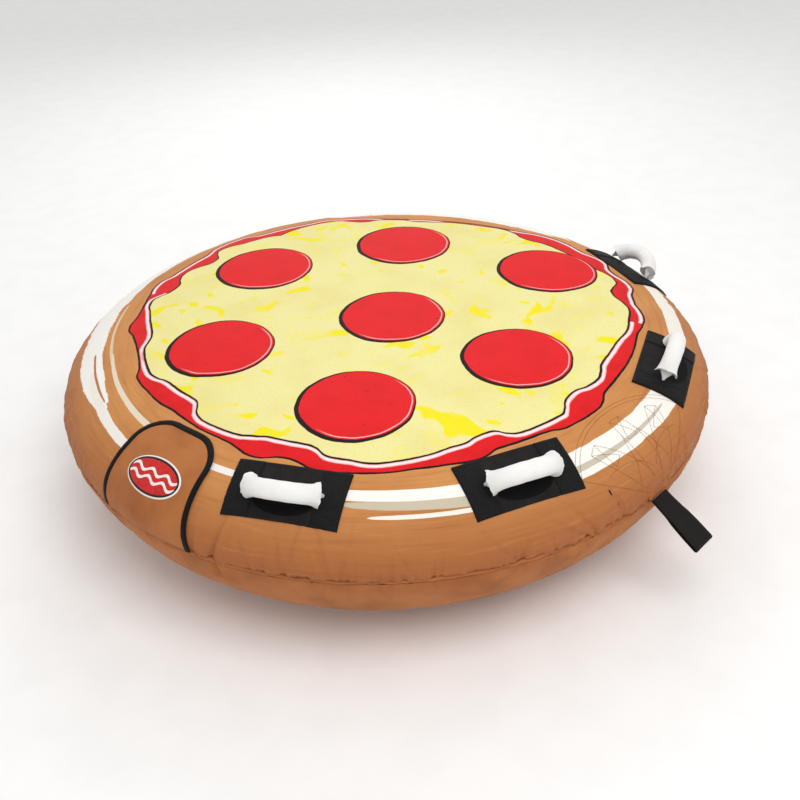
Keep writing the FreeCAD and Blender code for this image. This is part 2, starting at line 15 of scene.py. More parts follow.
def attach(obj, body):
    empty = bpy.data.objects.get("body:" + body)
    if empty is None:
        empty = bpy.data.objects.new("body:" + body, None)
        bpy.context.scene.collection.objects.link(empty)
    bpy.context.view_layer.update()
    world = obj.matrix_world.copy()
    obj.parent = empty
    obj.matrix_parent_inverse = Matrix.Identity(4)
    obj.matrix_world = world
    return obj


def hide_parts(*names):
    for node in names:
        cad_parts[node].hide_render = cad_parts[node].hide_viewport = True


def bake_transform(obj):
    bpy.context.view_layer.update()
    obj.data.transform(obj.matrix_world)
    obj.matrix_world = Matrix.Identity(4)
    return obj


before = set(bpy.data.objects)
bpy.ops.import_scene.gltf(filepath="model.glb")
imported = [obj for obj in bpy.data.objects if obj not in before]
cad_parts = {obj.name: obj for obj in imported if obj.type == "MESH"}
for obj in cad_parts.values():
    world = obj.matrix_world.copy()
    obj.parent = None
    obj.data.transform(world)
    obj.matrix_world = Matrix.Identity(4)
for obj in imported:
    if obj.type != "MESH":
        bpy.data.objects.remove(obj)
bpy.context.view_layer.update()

# %% Sizes taken from the part
TUBE_R = 0.635
WIDEST_Z, CROWN = 0.218, 0.112
FOOT_FLAT_R = 0.300
TOP_POWERS = (5.74, 2.12)
FOOT_POWERS = (2.75, 1.85)
SEAM_Z = WIDEST_Z - 0.017
TOW_AT = 270.0
HANDLE_AT = (208.6, 246.8, 293.1, 336.8)
HANDLE_LEAN = (33.0, 27.0, -4.0, 31.0)
HANDLE_R = (0.555, 0.555, 0.555, 0.579)
PAD_LONG, PAD_WIDE = 0.190, 0.100
ANCHOR_LONG = 0.045
BOW_TOP, BOW_R = 0.040, 0.068
PIVOT_LIFT = 0.0056
FLAP_AT = 185.6
FLAP_TOP_R = 0.500
VALVE_R, VALVE_WINDOW_R = 0.606, 0.033
ZIP_AT, ZIP_HALF, ZIP_R, ZIP_SLIT = 90.0, 40.0, 0.600, 0.007
PRINT_TURN = -44.3        # the print is turned this far on the cover
CLOTH = 0.0012

# %% [markdown]
# ## The outline
# The cover is a turned shape, so a place on it is an azimuth and a distance along the cloth.

# %% The outline and places on it
def top_z(r):
    across, up = TOP_POWERS
    return WIDEST_Z + CROWN * np.clip(1 - np.clip(r / TUBE_R, 0, 1) ** across, 0, None) ** (1 / up)


def foot_z(r):
    across, up = FOOT_POWERS
    share = np.clip((r - FOOT_FLAT_R) / (TUBE_R - FOOT_FLAT_R), 0, 1)
    return WIDEST_Z * (1 - np.clip(1 - share ** across, 0, None) ** (1 / up))


def outline():
    """Dense (radius, height) points from the deck's middle to the underside's middle."""
    bend = 1 - np.linspace(1, 0, 3000) ** 3
    top = np.stack([TUBE_R * bend, top_z(TUBE_R * bend)], 1)
    low = np.stack([TUBE_R * bend[::-1], foot_z(TUBE_R * bend[::-1])], 1)
    line = np.vstack([top, low[1:]])
    run = np.concatenate([[0], np.cumsum(np.hypot(*np.diff(line, axis=0).T))])
    return line, run


LINE, RUN = outline()
TOTAL = RUN[-1]
_below = (LINE[:, 1] < SEAM_Z) & (RUN > TOTAL * 0.3)
SEAM_S = RUN[_below][0]
SEAM_R = LINE[_below][0][0]
print(f"cloth from the deck's middle to the seam {SEAM_S:.3f} m, to the underside's middle {TOTAL:.3f} m")


def radius_at(s):
    return np.interp(s, RUN, LINE[:, 0])


def height_at(s):
    return np.interp(s, RUN, LINE[:, 1])


def cloth_at(r):
    """Distance along the cloth from the deck's middle out to a radius on the upper side."""
    upper = LINE[:3000]
    return np.interp(r, upper[:, 0], RUN[:3000])


def on_skin(s, azimuth, lift=0.0):
    """Points at distances s along the cloth and azimuths in degrees, lifted off the skin."""
    s, azimuth, lift = np.broadcast_arrays(*(np.asarray(v, float) for v in (s, azimuth, lift)))
    step = 0.0008
    dr = radius_at(s + step) - radius_at(s - step)
    dz = height_at(s + step) - height_at(s - step)
    size = np.maximum(np.hypot(dr, dz), 1e-9)
    out_r, out_z = -dz / size, dr / size
    turn = np.radians(azimuth)
    r = radius_at(s) + out_r * lift
    z = height_at(s) + out_z * lift
    return np.stack([r * np.cos(turn), r * np.sin(turn), z], -1)


def skin_frame(s, azimuth):
    """Matrix at a place on the skin: X along the tube, Y down the cloth, Z outwards."""
    spot = Vector(on_skin(s, azimuth).tolist())
    out = (Vector(on_skin(s, azimuth, 0.01).tolist()) - spot).normalized()
    down = (Vector(on_skin(s + 0.001, azimuth).tolist()) - spot).normalized()
    along = down.cross(out).normalized()
    down = out.cross(along)
    return Matrix.Translation(spot) @ Matrix((along, down, out)).transposed().to_4x4()

# %% [markdown]
# ## Small helpers

# %% Mesh helpers
def mesh_object(name, points, faces, body, material, cut=None):
    """A mesh piece that rides on a body, with each point's place on the flat cloth if given."""
    mesh = bpy.data.meshes.new(name)
    mesh.from_pydata([tuple(map(float, p)) for p in points], [], faces)
    mesh.update()
    mesh.polygons.foreach_set("use_smooth", [True] * len(mesh.polygons))
    obj = bpy.data.objects.new(name, mesh)
    bpy.context.scene.collection.objects.link(obj)
    mesh.materials.append(material)
    if cut is not None:
        index = np.empty(len(mesh.loops), dtype=np.int64)
        mesh.loops.foreach_get("vertex_index", index)
        layer = mesh.uv_layers.new(name="cut")
        layer.data.foreach_set("uv", np.asarray(cut, float)[index].astype(np.float32).ravel())
    if body:
        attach(obj, body)
    return obj


def face_outwards(obj):
    work = bmesh.new()
    work.from_mesh(obj.data)
    bmesh.ops.remove_doubles(work, verts=work.verts, dist=1e-6)
    bmesh.ops.recalc_face_normals(work, faces=work.faces)
    work.to_mesh(obj.data)
    work.free()


def grid_faces(rows, columns, closed_rows=False, closed_columns=False):
    """Quads over a grid of points stored row by row."""
    faces = []
    for i in range(rows if closed_rows else rows - 1):
        for j in range(columns if closed_columns else columns - 1):
            k, m = (i + 1) % rows, (j + 1) % columns
            faces.append((i * columns + j, i * columns + m, k * columns + m, k * columns + j))
    return faces


def slab(name, upper, lower, body, material, cut=None):
    """A closed plate between two grids of points of one size: upper and lower are (rows, columns, 3)."""
    rows, columns = upper.shape[:2]
    faces = grid_faces(rows, columns)
    count = rows * columns
    faces += [tuple(count + k for k in reversed(f)) for f in faces]
    rim = [j for j in range(columns)]
    rim += [i * columns + columns - 1 for i in range(1, rows)]
    rim += [(rows - 1) * columns + j for j in range(columns - 2, -1, -1)]
    rim += [i * columns for i in range(rows - 2, 0, -1)]
    for a, b in zip(rim, rim[1:] + rim[:1]):
        faces.append((b, a, a + count, b + count))
    obj = mesh_object(name, np.vstack([upper.reshape(-1, 3), lower.reshape(-1, 3)]), faces, body, material,
                      cut)
    face_outwards(obj)
    return obj


def tube(name, rings, body, material, cut=None):
    """A closed skin over rings of points: an (n, m, 3) array."""
    rows, columns = rings.shape[:2]
    faces = grid_faces(rows, columns, closed_columns=True)
    faces.append(tuple(range(columns)))
    faces.append(tuple((rows - 1) * columns + j for j in reversed(range(columns))))
    obj = mesh_object(name, rings.reshape(-1, 3), faces, body, material, cut)
    face_outwards(obj)
    obj.data.set_sharp_from_angle(angle=math.radians(70))
    return obj


def finish_modifiers(obj):
    """Turn a piece's modifiers into plain mesh."""
    graph = bpy.context.evaluated_depsgraph_get()
    mesh = bpy.data.meshes.new_from_object(obj.evaluated_get(graph))
    obj.modifiers.clear()
    obj.data = mesh


def wander(points, scale, seed):
    """Smooth noise between -1 and 1 at each point."""
    shift = Vector((seed * 7.13, seed * 3.71, seed * 1.37))
    return np.array([noise.noise(Vector(p) * scale + shift) for p in points])


def wander_over(x, y, z, seed):
    """Smooth noise on grids of places, in the grids' own shape."""
    x, y, z = np.broadcast_arrays(x, y, z)
    return wander(np.stack([x, y, z], -1).reshape(-1, 3), 1.0, seed).reshape(x.shape)

# %% Shader helpers
def colour(code):
    """Linear colour of an sRGB hex code."""
    parts = [int(code[k:k + 2], 16) / 255 for k in (0, 2, 4)]
    return [*(p / 12.92 if p <= 0.04045 else ((p + 0.055) / 1.055) ** 2.4 for p in parts), 1.0]


class Finish:
    """A material with its node tree, and short ways to add nodes to it."""

    def __init__(self, name, base, roughness, sheen=0.0, specular=0.12):
        self.material = bpy.data.materials.new(name)
        self.material.use_nodes = True
        self.tree = self.material.node_tree
        self.shader = self.tree.nodes["Principled BSDF"]
        self.shader.inputs["Base Color"].default_value = colour(base)
        self.shader.inputs["Roughness"].default_value = roughness
        self.shader.inputs["Sheen Weight"].default_value = sheen
        self.shader.inputs["Specular IOR Level"].default_value = specular

    def add(self, kind, inputs=None, **settings):
        node = self.tree.nodes.new(kind)
        for key, value in settings.items():
            setattr(node, key, value)
        for key, value in (inputs or {}).items():
            if isinstance(value, bpy.types.NodeSocket):
                self.tree.links.new(value, node.inputs[key])
            else:
                node.inputs[key].default_value = value
        return node

    def maths(self, operation, *values, clamp=False):
        node = self.add("ShaderNodeMath", dict(enumerate(values)), operation=operation, use_clamp=clamp)
        return node.outputs[0]

    def ramp(self, value, low, high, start=0.0, end=1.0):
        """Smooth step of a value from start to end."""
        node = self.add("ShaderNodeMapRange", {0: value, 1: low, 2: high, 3: start, 4: end},
                        interpolation_type="SMOOTHSTEP")
        return node.outputs[0]

    def mix(self, share, below, above):
        node = self.add("ShaderNodeMix", {0: share}, data_type="RGBA")
        for index, value in ((6, below), (7, above)):
            if isinstance(value, bpy.types.NodeSocket):
                self.tree.links.new(value, node.inputs[index])
            else:
                node.inputs[index].default_value = colour(value)
        return node.outputs[2]

    def grain(self, place, size_mm, detail=2.0, distortion=0.0, roughness=0.5):
        """Noise whose features are about size_mm across."""
        node = self.add("ShaderNodeTexNoise", {"Vector": place, "Scale": 1000 / size_mm, "Detail": detail,
                                               "Distortion": distortion, "Roughness": roughness})
        return node.outputs[0]

    def object_place(self):
        return self.add("ShaderNodeTexCoord").outputs["Object"]

    def cut_place(self):
        """Place on the flat cut cloth, in metres, from the piece's own map."""
        return self.add("ShaderNodeUVMap", uv_map="cut").outputs[0]

    def weave(self, place, pitch_mm, axis="XY"):
        """Height of a plain weave, 0 to 1."""
        split = self.add("ShaderNodeSeparateXYZ", {0: place})
        turns = math.pi * 2000 / pitch_mm
        u = self.maths("MULTIPLY", split.outputs[0], turns)
        v = self.maths("MULTIPLY", split.outputs["XYZ".index(axis[1])], turns)
        over = self.maths("SINE", u)
        under = self.maths("SINE", v)
        return self.maths("MULTIPLY_ADD", self.maths("MULTIPLY", over, under), 0.5, 0.5)

    def bump(self, height, depth_mm, normal=None):
        inputs = {"Height": height, "Distance": depth_mm / 1000, "Strength": 1.0}
        if normal is not None:
            inputs["Normal"] = normal
        return self.add("ShaderNodeBump", inputs).outputs[0]

    def wear(self, normal=None, base=None, roughness=None):
        """Wire the finish into the shader."""
        for key, value in (("Normal", normal), ("Base Color", base), ("Roughness", roughness)):
            if value is not None:
                self.tree.links.new(value, self.shader.inputs[key])
        return self.material

# %% [markdown]
# ## Cloths and webbings

# %% Plain cloth, webbing and thread
def cloth_finish(name, base, shade, pitch_mm=0.9, roughness=0.72, sheen=0.05, place="object", depth_mm=0.12):
    """Woven nylon: fine weave, faint dirt and fading."""
    finish = Finish(name, base, roughness, sheen)
    where = finish.cut_place() if place == "cut" else finish.object_place()
    patches = finish.grain(where, 90, detail=4)
    fine = finish.grain(where, 3, detail=3)
    tone = finish.mix(finish.ramp(patches, 0.35, 0.7), base, shade)
    tone = finish.mix(finish.ramp(fine, 0.5, 0.8, 0, 0.25), tone, shade)
    normal = finish.bump(finish.weave(where, pitch_mm, "XY"), depth_mm)
    normal = finish.bump(fine, 0.15, normal)
    return finish.wear(normal, tone)


def webbing_finish(name, base, glint, rib_mm=1.6, roughness=0.6, speck=0.35):
    """Coarse webbing: deep ribs one way, picks the other way, and light catching on the tops."""
    finish = Finish(name, base, roughness, 0.02)
    where = finish.cut_place()
    height = finish.weave(where, rib_mm)
    rough = finish.grain(where, rib_mm * 0.8, detail=2)
    tops = finish.maths("MULTIPLY", finish.ramp(height, 0.55, 0.95), finish.ramp(rough, 0.5, 0.75))
    tone = finish.mix(finish.maths("MULTIPLY", tops, speck), base, glint)
    normal = finish.bump(height, 0.35)
    normal = finish.bump(rough, 0.5, normal)
    return finish.wear(normal, tone)


def moulded_finish(name, base, shade, roughness=0.45):
    """Moulded plastic or rubber with a fine spark-eroded grain."""
    finish = Finish(name, base, roughness)
    where = finish.object_place()
    fine = finish.grain(where, 0.7, detail=3)
    broad = finish.grain(where, 25, detail=3)
    tone = finish.mix(finish.ramp(broad, 0.35, 0.75), base, shade)
    shine = finish.ramp(broad, 0.3, 0.8, roughness - 0.08, roughness + 0.12)
    return finish.wear(finish.bump(fine, 0.05), tone, shine)


def metal_finish(name, base, shade, roughness=0.35):
    """Plated metal with faint handling marks."""
    finish = Finish(name, base, roughness)
    finish.shader.inputs["Metallic"].default_value = 1.0
    where = finish.object_place()
    marks = finish.grain(where, 4, detail=5, distortion=1.0)
    tone = finish.mix(finish.ramp(marks, 0.4, 0.75), base, shade)
    shine = finish.ramp(marks, 0.3, 0.8, roughness - 0.08, roughness + 0.2)
    return finish.wear(finish.bump(marks, 0.03), tone, shine)


TAN_CLOTH = cloth_finish("tan_nylon", "B5713F", "A05F34", place="cut")
TAN_OBJECT = cloth_finish("tan_nylon_trim", "AE6B3B", "94542D")
BLACK_TAPE = webbing_finish("black_binding_tape", "0F0E0F", "2E2C2C", rib_mm=1.1)
ANCHOR_WEB = webbing_finish("black_anchor_webbing", "121213", "5A5654", rib_mm=2.4, speck=0.8)
TOW_WEB = webbing_finish("black_tow_webbing", "191615", "4A423E", rib_mm=2.0, speck=0.7)
STRAP_WEB = webbing_finish("white_strap_webbing", "DADAD6", "F4F4F0", rib_mm=1.6)
WHITE_SLEEVE = cloth_finish("white_woven_sleeve", "F2F1EE", "DEDDDA", pitch_mm=1.3, roughness=0.8, sheen=0.1,
                            place="cut", depth_mm=0.2)
THREAD_TAN = moulded_finish("tan_polyester_thread", "B98A63", "9C6F49", 0.55)
THREAD_BROWN = moulded_finish("brown_polyester_thread", "8A5C38", "74492A", 0.6)
THREAD_BLACK = moulded_finish("black_polyester_thread", "1B1A1A", "2A2828", 0.5)

# %% [markdown]
# ## The printed deck
# The print is drawn in the flat cloth's own map: an angle and a distance from the middle of the print.
# Angles are in degrees in the print's own frame, and distances are in metres.

# %% Layout of the print
SLICES = ((0.034, 304, 0.104), (0.336, 261, 0.104), (0.315, 320, 0.103), (0.385, 23, 0.106),
          (0.315, 80, 0.106), (0.334, 139, 0.105), (0.330, 201, 0.103))
# edges of the sauce, as (angle, distance in millimetres)
SAUCE_OUTER = ((0, 506), (4, 510), (10, 527), (17, 515), (24, 535), (30, 520), (37, 525), (43, 518), (50, 494),
               (57, 486), (66, 478), (76, 472), (86, 476), (95, 497), (100, 506), (105, 518), (110, 511), (120, 511),
               (124, 516), (128, 541), (135, 536), (142, 512), (153, 511), (158, 523), (165, 511), (170, 504),
               (175, 501), (180, 508), (185, 494), (190, 485), (195, 482), (200, 486), (204, 496), (210, 493),
               (216, 490), (221, 485), (230, 488), (237, 490), (240, 496), (244, 504), (250, 493), (253, 498),
               (256, 508), (260, 511), (270, 510), (275, 506), (280, 506), (285, 508), (288, 503), (291, 495),
               (298, 495), (302, 498), (305, 506), (314, 508), (317, 503), (320, 492), (326, 490), (333, 492),
               (340, 494), (345, 495), (350, 507), (354, 513), (360, 506))
SAUCE_INNER = ((0, 482), (5, 470), (8, 480), (13, 501), (16, 497), (19, 486), (25, 480), (32, 475), (38, 472),
               (44, 461), (49, 475), (53, 482), (60, 473), (68, 468), (78, 455), (83, 466), (90, 470), (94, 461),
               (98, 473), (104, 496), (110, 491), (115, 482), (120, 466), (124, 482), (130, 490), (136, 507),
               (139, 492), (144, 463), (148, 477), (152, 487), (156, 478), (160, 463), (163, 467), (166, 485),
               (168, 492), (170, 490), (174, 478), (178, 469), (182, 461), (186, 456), (189, 460), (192, 469),
               (197, 471), (203, 472), (206, 467), (210, 453), (215, 448), (221, 443), (223, 450), (226, 467),
               (229, 471), (238, 469), (242, 460), (245, 455), (253, 456), (255, 461), (258, 478), (262, 483),
               (267, 490), (271, 487), (278, 478), (282, 470), (285, 467), (288, 458), (291, 455), (294, 469),
               (297, 478), (307, 479), (309, 472), (312, 456), (315, 452), (319, 461), (323, 465), (326, 460),
               (330, 452), (334, 454), (340, 460), (347, 477), (352, 482), (357, 488), (360, 482))
# brush strokes on the crust: from angle, to angle, middle at each end (mm), width at each end (mm),
# raggedness, paint
STROKES = ((262, 292, 570, 582, 12, 24, 0.3, "C9BDA5"), (254, 290, 551, 561, 18, 24, 0.15, "F4F1EA"),
           (266, 296, 592, 596, 7, 8, 0.3, "F0EBE0"), (229, 247, 542, 546, 13, 13, 0.2, "F1ECE2"),
           (40, 103, 572, 570, 100, 104, 0.6, "F6F2EA"), (122, 178, 612, 588, 96, 52, 0.5, "F1EDE6"),
           (150, 207, 588, 573, 60, 46, 0.7, "F4F0E9"), (194, 224, 571, 586, 20, 17, 0.9, "EFE9DF"),
           (188, 206, 570, 566, 6, 4, 1.2, "B87A48"), (168, 198, 546, 531, 5, 7, 0.5, "DDC8A2"),
           (190, 226, 531, 535, 7, 13, 0.6, "E3D6BE"), (290, 345, 575, 576, 50, 48, 0.35, "F4F0E8"),
           (294, 326, 584, 580, 13, 5, 0.4, "C8BFAD"), (341, 400, 574, 594, 36, 44, 0.4, "F0E9DD"))


def print_finish():
    """Deck cloth printed with cheese, sauce, slices and a browned crust."""
    f = Finish("printed_nylon_deck", "C98A4B", 0.6, 0.03)
    cut = f.cut_place()
    turned = f.add("ShaderNodeMapping", {"Vector": cut, "Rotation": (0, 0, math.radians(-PRINT_TURN))}).outputs[0]
    split = f.add("ShaderNodeSeparateXYZ", {0: turned})
    x, y = split.outputs[0], split.outputs[1]
    angle = f.maths("DIVIDE", f.maths("ARCTAN2", y, x), 2 * math.pi)
    angle = f.maths("FRACT", f.maths("ADD", angle, 1.0))
    away = f.add("ShaderNodeVectorMath", {0: turned}, operation="LENGTH").outputs["Value"]
    wobble = f.maths("MULTIPLY_ADD", f.grain(turned, 60, detail=3), 0.008, -0.004)
    hand = f.maths("MULTIPLY_ADD", f.grain(turned, 14, detail=2), 0.002, -0.001)

    third = f.maths("MULTIPLY", angle, 3.0)

    def ring_edge(edge):
        """Distance of an edge at this angle, from one curve for each third of the ring."""
        at, far = zip(*edge)
        total = hand
        for part in range(3):
            share = f.maths("SUBTRACT", third, float(part))
            curve = f.add("ShaderNodeFloatCurve", {"Value": share})
            line = curve.mapping.curves[0]
            low, high = part * 120, part * 120 + 120
            stops = [low, *(a for a in at if low + 1 < a < high - 1), high]
            spots = [((a - low) / 120, (float(np.interp(a, at, far)) - 400) / 200) for a in stops]
            while len(line.points) < len(spots):
                line.points.new(0.5, 0.5)
            for point, spot in zip(line.points, spots):
                point.location = spot
                point.handle_type = "AUTO_CLAMPED"
            curve.mapping.update()
            inside = f.maths("COMPARE", share, 0.5, 0.5)
            value = f.maths("MULTIPLY_ADD", curve.outputs[0], 0.2, 0.4)
            total = f.maths("MULTIPLY_ADD", value, inside, total)
        return total

    inner, outer = ring_edge(SAUCE_INNER), ring_edge(SAUCE_OUTER)
    from_inner = f.maths("SUBTRACT", away, inner)
    from_outer = f.maths("SUBTRACT", away, outer)

    def band(value, half, soft=0.0007):
        size = f.maths("ABSOLUTE", value)
        return f.ramp(size, half + soft, half - soft)

    # crust
    brown = f.mix(f.ramp(away, 0.53, 0.69), "CF8F52", "A8653A")
    brown = f.mix(f.ramp(f.grain(turned, 160, detail=4), 0.4, 0.75, 0, 0.5), brown, "B5713F")
    lane = f.add("ShaderNodeCombineXYZ", {0: f.maths("MULTIPLY", angle, 3.0), 1: f.maths("MULTIPLY", away, 14)})
    streaks = f.grain(lane.outputs[0], 120, detail=5, roughness=0.7)
    brown = f.mix(f.ramp(streaks, 0.45, 0.75, 0, 0.45), brown, "9C5C33")
    brown = f.mix(f.ramp(streaks, 0.45, 0.25, 0, 0.4), brown, "DDA063")
    tone = brown
    for start, end, first, last, width, last_width, rag, paint in STROKES:
        middle, half_turn = (start + end) / 2 / 360, (end - start) / 2 / 360
        offset = f.maths("WRAP", f.maths("SUBTRACT", angle, middle), 0.5, -0.5)
        stretch = f.add("ShaderNodeCombineXYZ", {0: f.maths("MULTIPLY", offset, 2.4),
                                                 1: f.maths("MULTIPLY", away, 3.4), 2: middle * 40})
        streak = f.grain(stretch.outputs[0], 42, detail=5, roughness=0.72)
        share = f.maths("DIVIDE", offset, half_turn)
        centre = f.maths("MULTIPLY_ADD", share, (last - first) / 2000, (first + last) / 2000)
        half_width = f.maths("MULTIPLY_ADD", share, (last_width - width) / 4000, (width + last_width) / 4000)
        side = f.maths("ABSOLUTE", f.maths("DIVIDE", f.maths("SUBTRACT", away, centre), half_width))
        field = f.maths("ADD", f.maths("POWER", f.maths("ABSOLUTE", share), 5.0), f.maths("POWER", side, 3.0))
        field = f.maths("ADD", field, f.maths("MULTIPLY_ADD", streak, rag * 3.4, -rag * 1.7))
        tone = f.mix(f.ramp(field, 1.05, 0.93), tone, paint)
    # sauce with its highlight
    red = f.mix(f.ramp(f.grain(turned, 40), 0.4, 0.7, 0, 0.6), "DE141A", "C90E13")
    thickness = f.maths("SUBTRACT", outer, inner)
    far_side = f.maths("COMPARE", f.maths("WRAP", angle, 0.72, -0.28), 0.215, 0.24)
    near_edge = f.maths("SUBTRACT", from_inner, 0.0060)
    far_edge = f.maths("SUBTRACT", f.maths("MULTIPLY", from_outer, -1.0), 0.0064)
    off_glow = f.maths("MULTIPLY_ADD", f.maths("SUBTRACT", far_edge, near_edge), far_side, near_edge)
    off_glow = f.maths("ABSOLUTE", off_glow)
    wide = f.ramp(thickness, 0.009, 0.014)
    red = f.mix(f.maths("MULTIPLY", f.ramp(off_glow, 0.0050, 0.0036), wide), red, "F1A9AB")
    red = f.mix(f.maths("MULTIPLY", f.ramp(off_glow, 0.0034, 0.0008), wide), red, "FAE9E9")
    tone = f.mix(f.ramp(from_outer, 0.0005, -0.0005), tone, red)
    # cheese
    cheese = f.mix(f.ramp(f.grain(turned, 120, detail=3), 0.4, 0.7), "ECE49C", "E8DC8F")
    curds = f.grain(turned, 130, detail=1.3, distortion=2.8, roughness=0.40)
    curd = f.maths("MULTIPLY", f.ramp(curds, 0.600, 0.620), f.ramp(f.grain(turned, 170), 0.46, 0.52))
    cheese = f.mix(f.ramp(curds, 0.56, 0.60, 0, 0.35), cheese, "EFE35A")
    cheese = f.mix(curd, cheese, "F0E21C")
    speck = f.add("ShaderNodeTexVoronoi", {"Vector": turned, "Scale": 160.0}).outputs["Distance"]
    cheese = f.mix(f.ramp(speck, 0.20, 0.12, 0, 0.7), cheese, "D6C873")
    tone = f.mix(f.ramp(from_inner, 0.0005, -0.0005), tone, cheese)
    ink_wide = f.maths("MULTIPLY_ADD", f.grain(turned, 70), 0.0022, 0.0010)
    for gap in (from_inner, from_outer):
        reach = f.maths("SUBTRACT", f.maths("ABSOLUTE", gap), ink_wide)
        tone = f.mix(f.ramp(reach, 0.0005, -0.0005), tone, "12060A")
    # slices of sausage
    for distance, at, radius in SLICES:
        cx, cy = distance * math.cos(math.radians(at)), distance * math.sin(math.radians(at))
        dx, dy = f.maths("SUBTRACT", x, cx), f.maths("SUBTRACT", y, cy)
        gap = f.maths("SQRT", f.maths("ADD", f.maths("POWER", dx, 2.0), f.maths("POWER", dy, 2.0)))
        gap = f.maths("ADD", gap, wobble)
        shift = f.maths("ADD", f.maths("MULTIPLY", dx, 0.028), f.maths("MULTIPLY", dy, 0.028))
        disc = f.maths("SUBTRACT", f.maths("ADD", gap, shift), radius)
        red_disc = f.maths("ADD", disc, f.maths("MULTIPLY_ADD", shift, -0.9, 0.0052))
        lit = f.maths("SUBTRACT", dy, dx)
        meat = f.mix(f.ramp(f.grain(turned, 50, detail=3), 0.4, 0.7, 0, 0.5), "E2161C", "D41117")
        gloss = f.maths("MULTIPLY", band(f.maths("ADD", red_disc, 0.0042), 0.0011), f.ramp(lit, 0.01, -0.05))
        meat = f.mix(gloss, meat, "F3B8B4")
        spice = f.add("ShaderNodeTexVoronoi", {"Vector": turned, "Scale": 42.0}).outputs["Distance"]
        dots = f.ramp(spice, 0.075, 0.05)
        meat = f.mix(dots, meat, "7A1414")
        tone = f.mix(f.ramp(disc, 0.0005, -0.0005), tone, "12060A")
        tone = f.mix(f.ramp(red_disc, 0.0005, -0.0005), tone, meat)
    fine = f.grain(cut, 3, detail=3)
    normal = f.bump(f.weave(cut, 0.9), 0.1)
    normal = f.bump(fine, 0.15, normal)
    return f.wear(normal, tone)


PRINT = print_finish()

# %% [markdown]
# ## The cover
# The top and bottom panels are one inflated skin, gathered where they are sewn together. Puckers run across
# the seam and die away from it.

# %% Puckers beside the seam
def gathered_creases():
    """Sharp creases that run up from the seam: azimuth, length, lean, depth and width of each."""
    pick = np.random.default_rng(7)
    creases = [(pick.uniform(0, 360), pick.uniform(0.02, 0.06), pick.normal(0, 0.25), pick.uniform(0.0010, 0.0022),
                pick.uniform(0.0030, 0.0050)) for _ in range(170)]
    creases += [(pick.uniform(0, 360), pick.uniform(0.07, 0.13), pick.normal(0, 0.5), pick.uniform(0.0014, 0.0026),
                 pick.uniform(0.004, 0.007)) for _ in range(38)]
    return creases + [(198.6, 0.085, -0.25, 0.0040, 0.005), (262.0, 0.10, 0.4, 0.003, 0.006),
                      (278.0, 0.09, -0.3, 0.003, 0.006)]


CREASES = gathered_creases()
# rounds of the tube, height, reach from the seam and noise seed of each size of pucker
PUCKERS = ((9, 0.0020, 0.11, 1), (22, 0.0022, 0.065, 2), (48, 0.0022, 0.042, 3), (90, 0.0015, 0.024, 4))


def pucker(azimuth, s):
    """How far the cloth stands out of the plain outline, in metres."""
    azimuth, s = np.broadcast_arrays(np.asarray(azimuth, float), np.asarray(s, float))
    turn = np.radians(azimuth)
    ring = np.stack([np.cos(turn), np.sin(turn), np.zeros_like(turn)], -1)
    flat = ring.reshape(-1, 3)
    drop = np.abs(s - SEAM_S)
    total = np.zeros(s.shape)
    for waves, size, fade, seed in PUCKERS:
        drift = np.stack([flat[:, 0] * waves, flat[:, 1] * waves, s.reshape(-1) * 9], -1)
        value = wander(drift, 1.0, seed).reshape(s.shape)
        total += size * (1 - 2.2 * np.abs(value)) * np.exp(-(drop / fade) ** 1.3)
    for at, length, lean, depth, width in CREASES:
        across = ((azimuth - at + 180) % 360 - 180) * math.radians(1) * 0.63 + lean * drop
        near = np.abs(across) < width * 3
        fold = np.exp(-(across / width) ** 2) - 0.6 * np.exp(-((across - width * 1.3) / width) ** 2)
        total = total + np.where(near & (drop < length * 1.6), -depth * fold * np.exp(-(drop / length) ** 3), 0)
    gather = -0.0022 * np.exp(-(drop / 0.012) ** 2)
    return total + gather


def ring_rows(bands):
    """Rows of (distance, segments) for a disc whose rings get finer outwards."""
    rows = []
    for start, end, step, segments in bands:
        count = max(1, round((end - start) / step))
        rows += [(start + (end - start) * k / count, segments) for k in range(1, count + 1)]
    return rows


def disc_mesh(rows, spots_of, flip):
    """Points, faces and flat places for a disc of rings. A ring may have twice the segments of the last."""
    points, cut, faces, starts = [spots_of(np.array([0.0]), np.array([0.0]))[0]], [(0.0, 0.0)], [], []
    for s, segments in rows:
        azimuth = np.arange(segments) * 360 / segments
        starts.append((len(points), segments))
        points += list(spots_of(np.full(segments, s), azimuth))
        cut += [(s * math.cos(math.radians(a)), s * math.sin(math.radians(a))) for a in azimuth]
    first, count = starts[0]
    faces += [(0, first + j, first + (j + 1) % count) for j in range(count)]
    for (a, n), (b, m) in zip(starts, starts[1:]):
        for j in range(n):
            here, there = a + j, a + (j + 1) % n
            if m == n:
                faces.append((here, b + j, b + (j + 1) % m, there))
            else:
                faces += [(here, b + 2 * j, b + 2 * j + 1), (here, b + 2 * j + 1, there),
                          (there, b + 2 * j + 1, b + (2 * j + 2) % m)]
    if flip:
        faces = [tuple(reversed(f)) for f in faces]
    return np.array(points), faces, np.array(cut)


def thicken(obj, depth, offset=-1.0):
    wall = obj.modifiers.new("wall", "SOLIDIFY")
    wall.thickness = depth
    wall.offset = offset
    wall.use_even_offset = False
    finish_modifiers(obj)

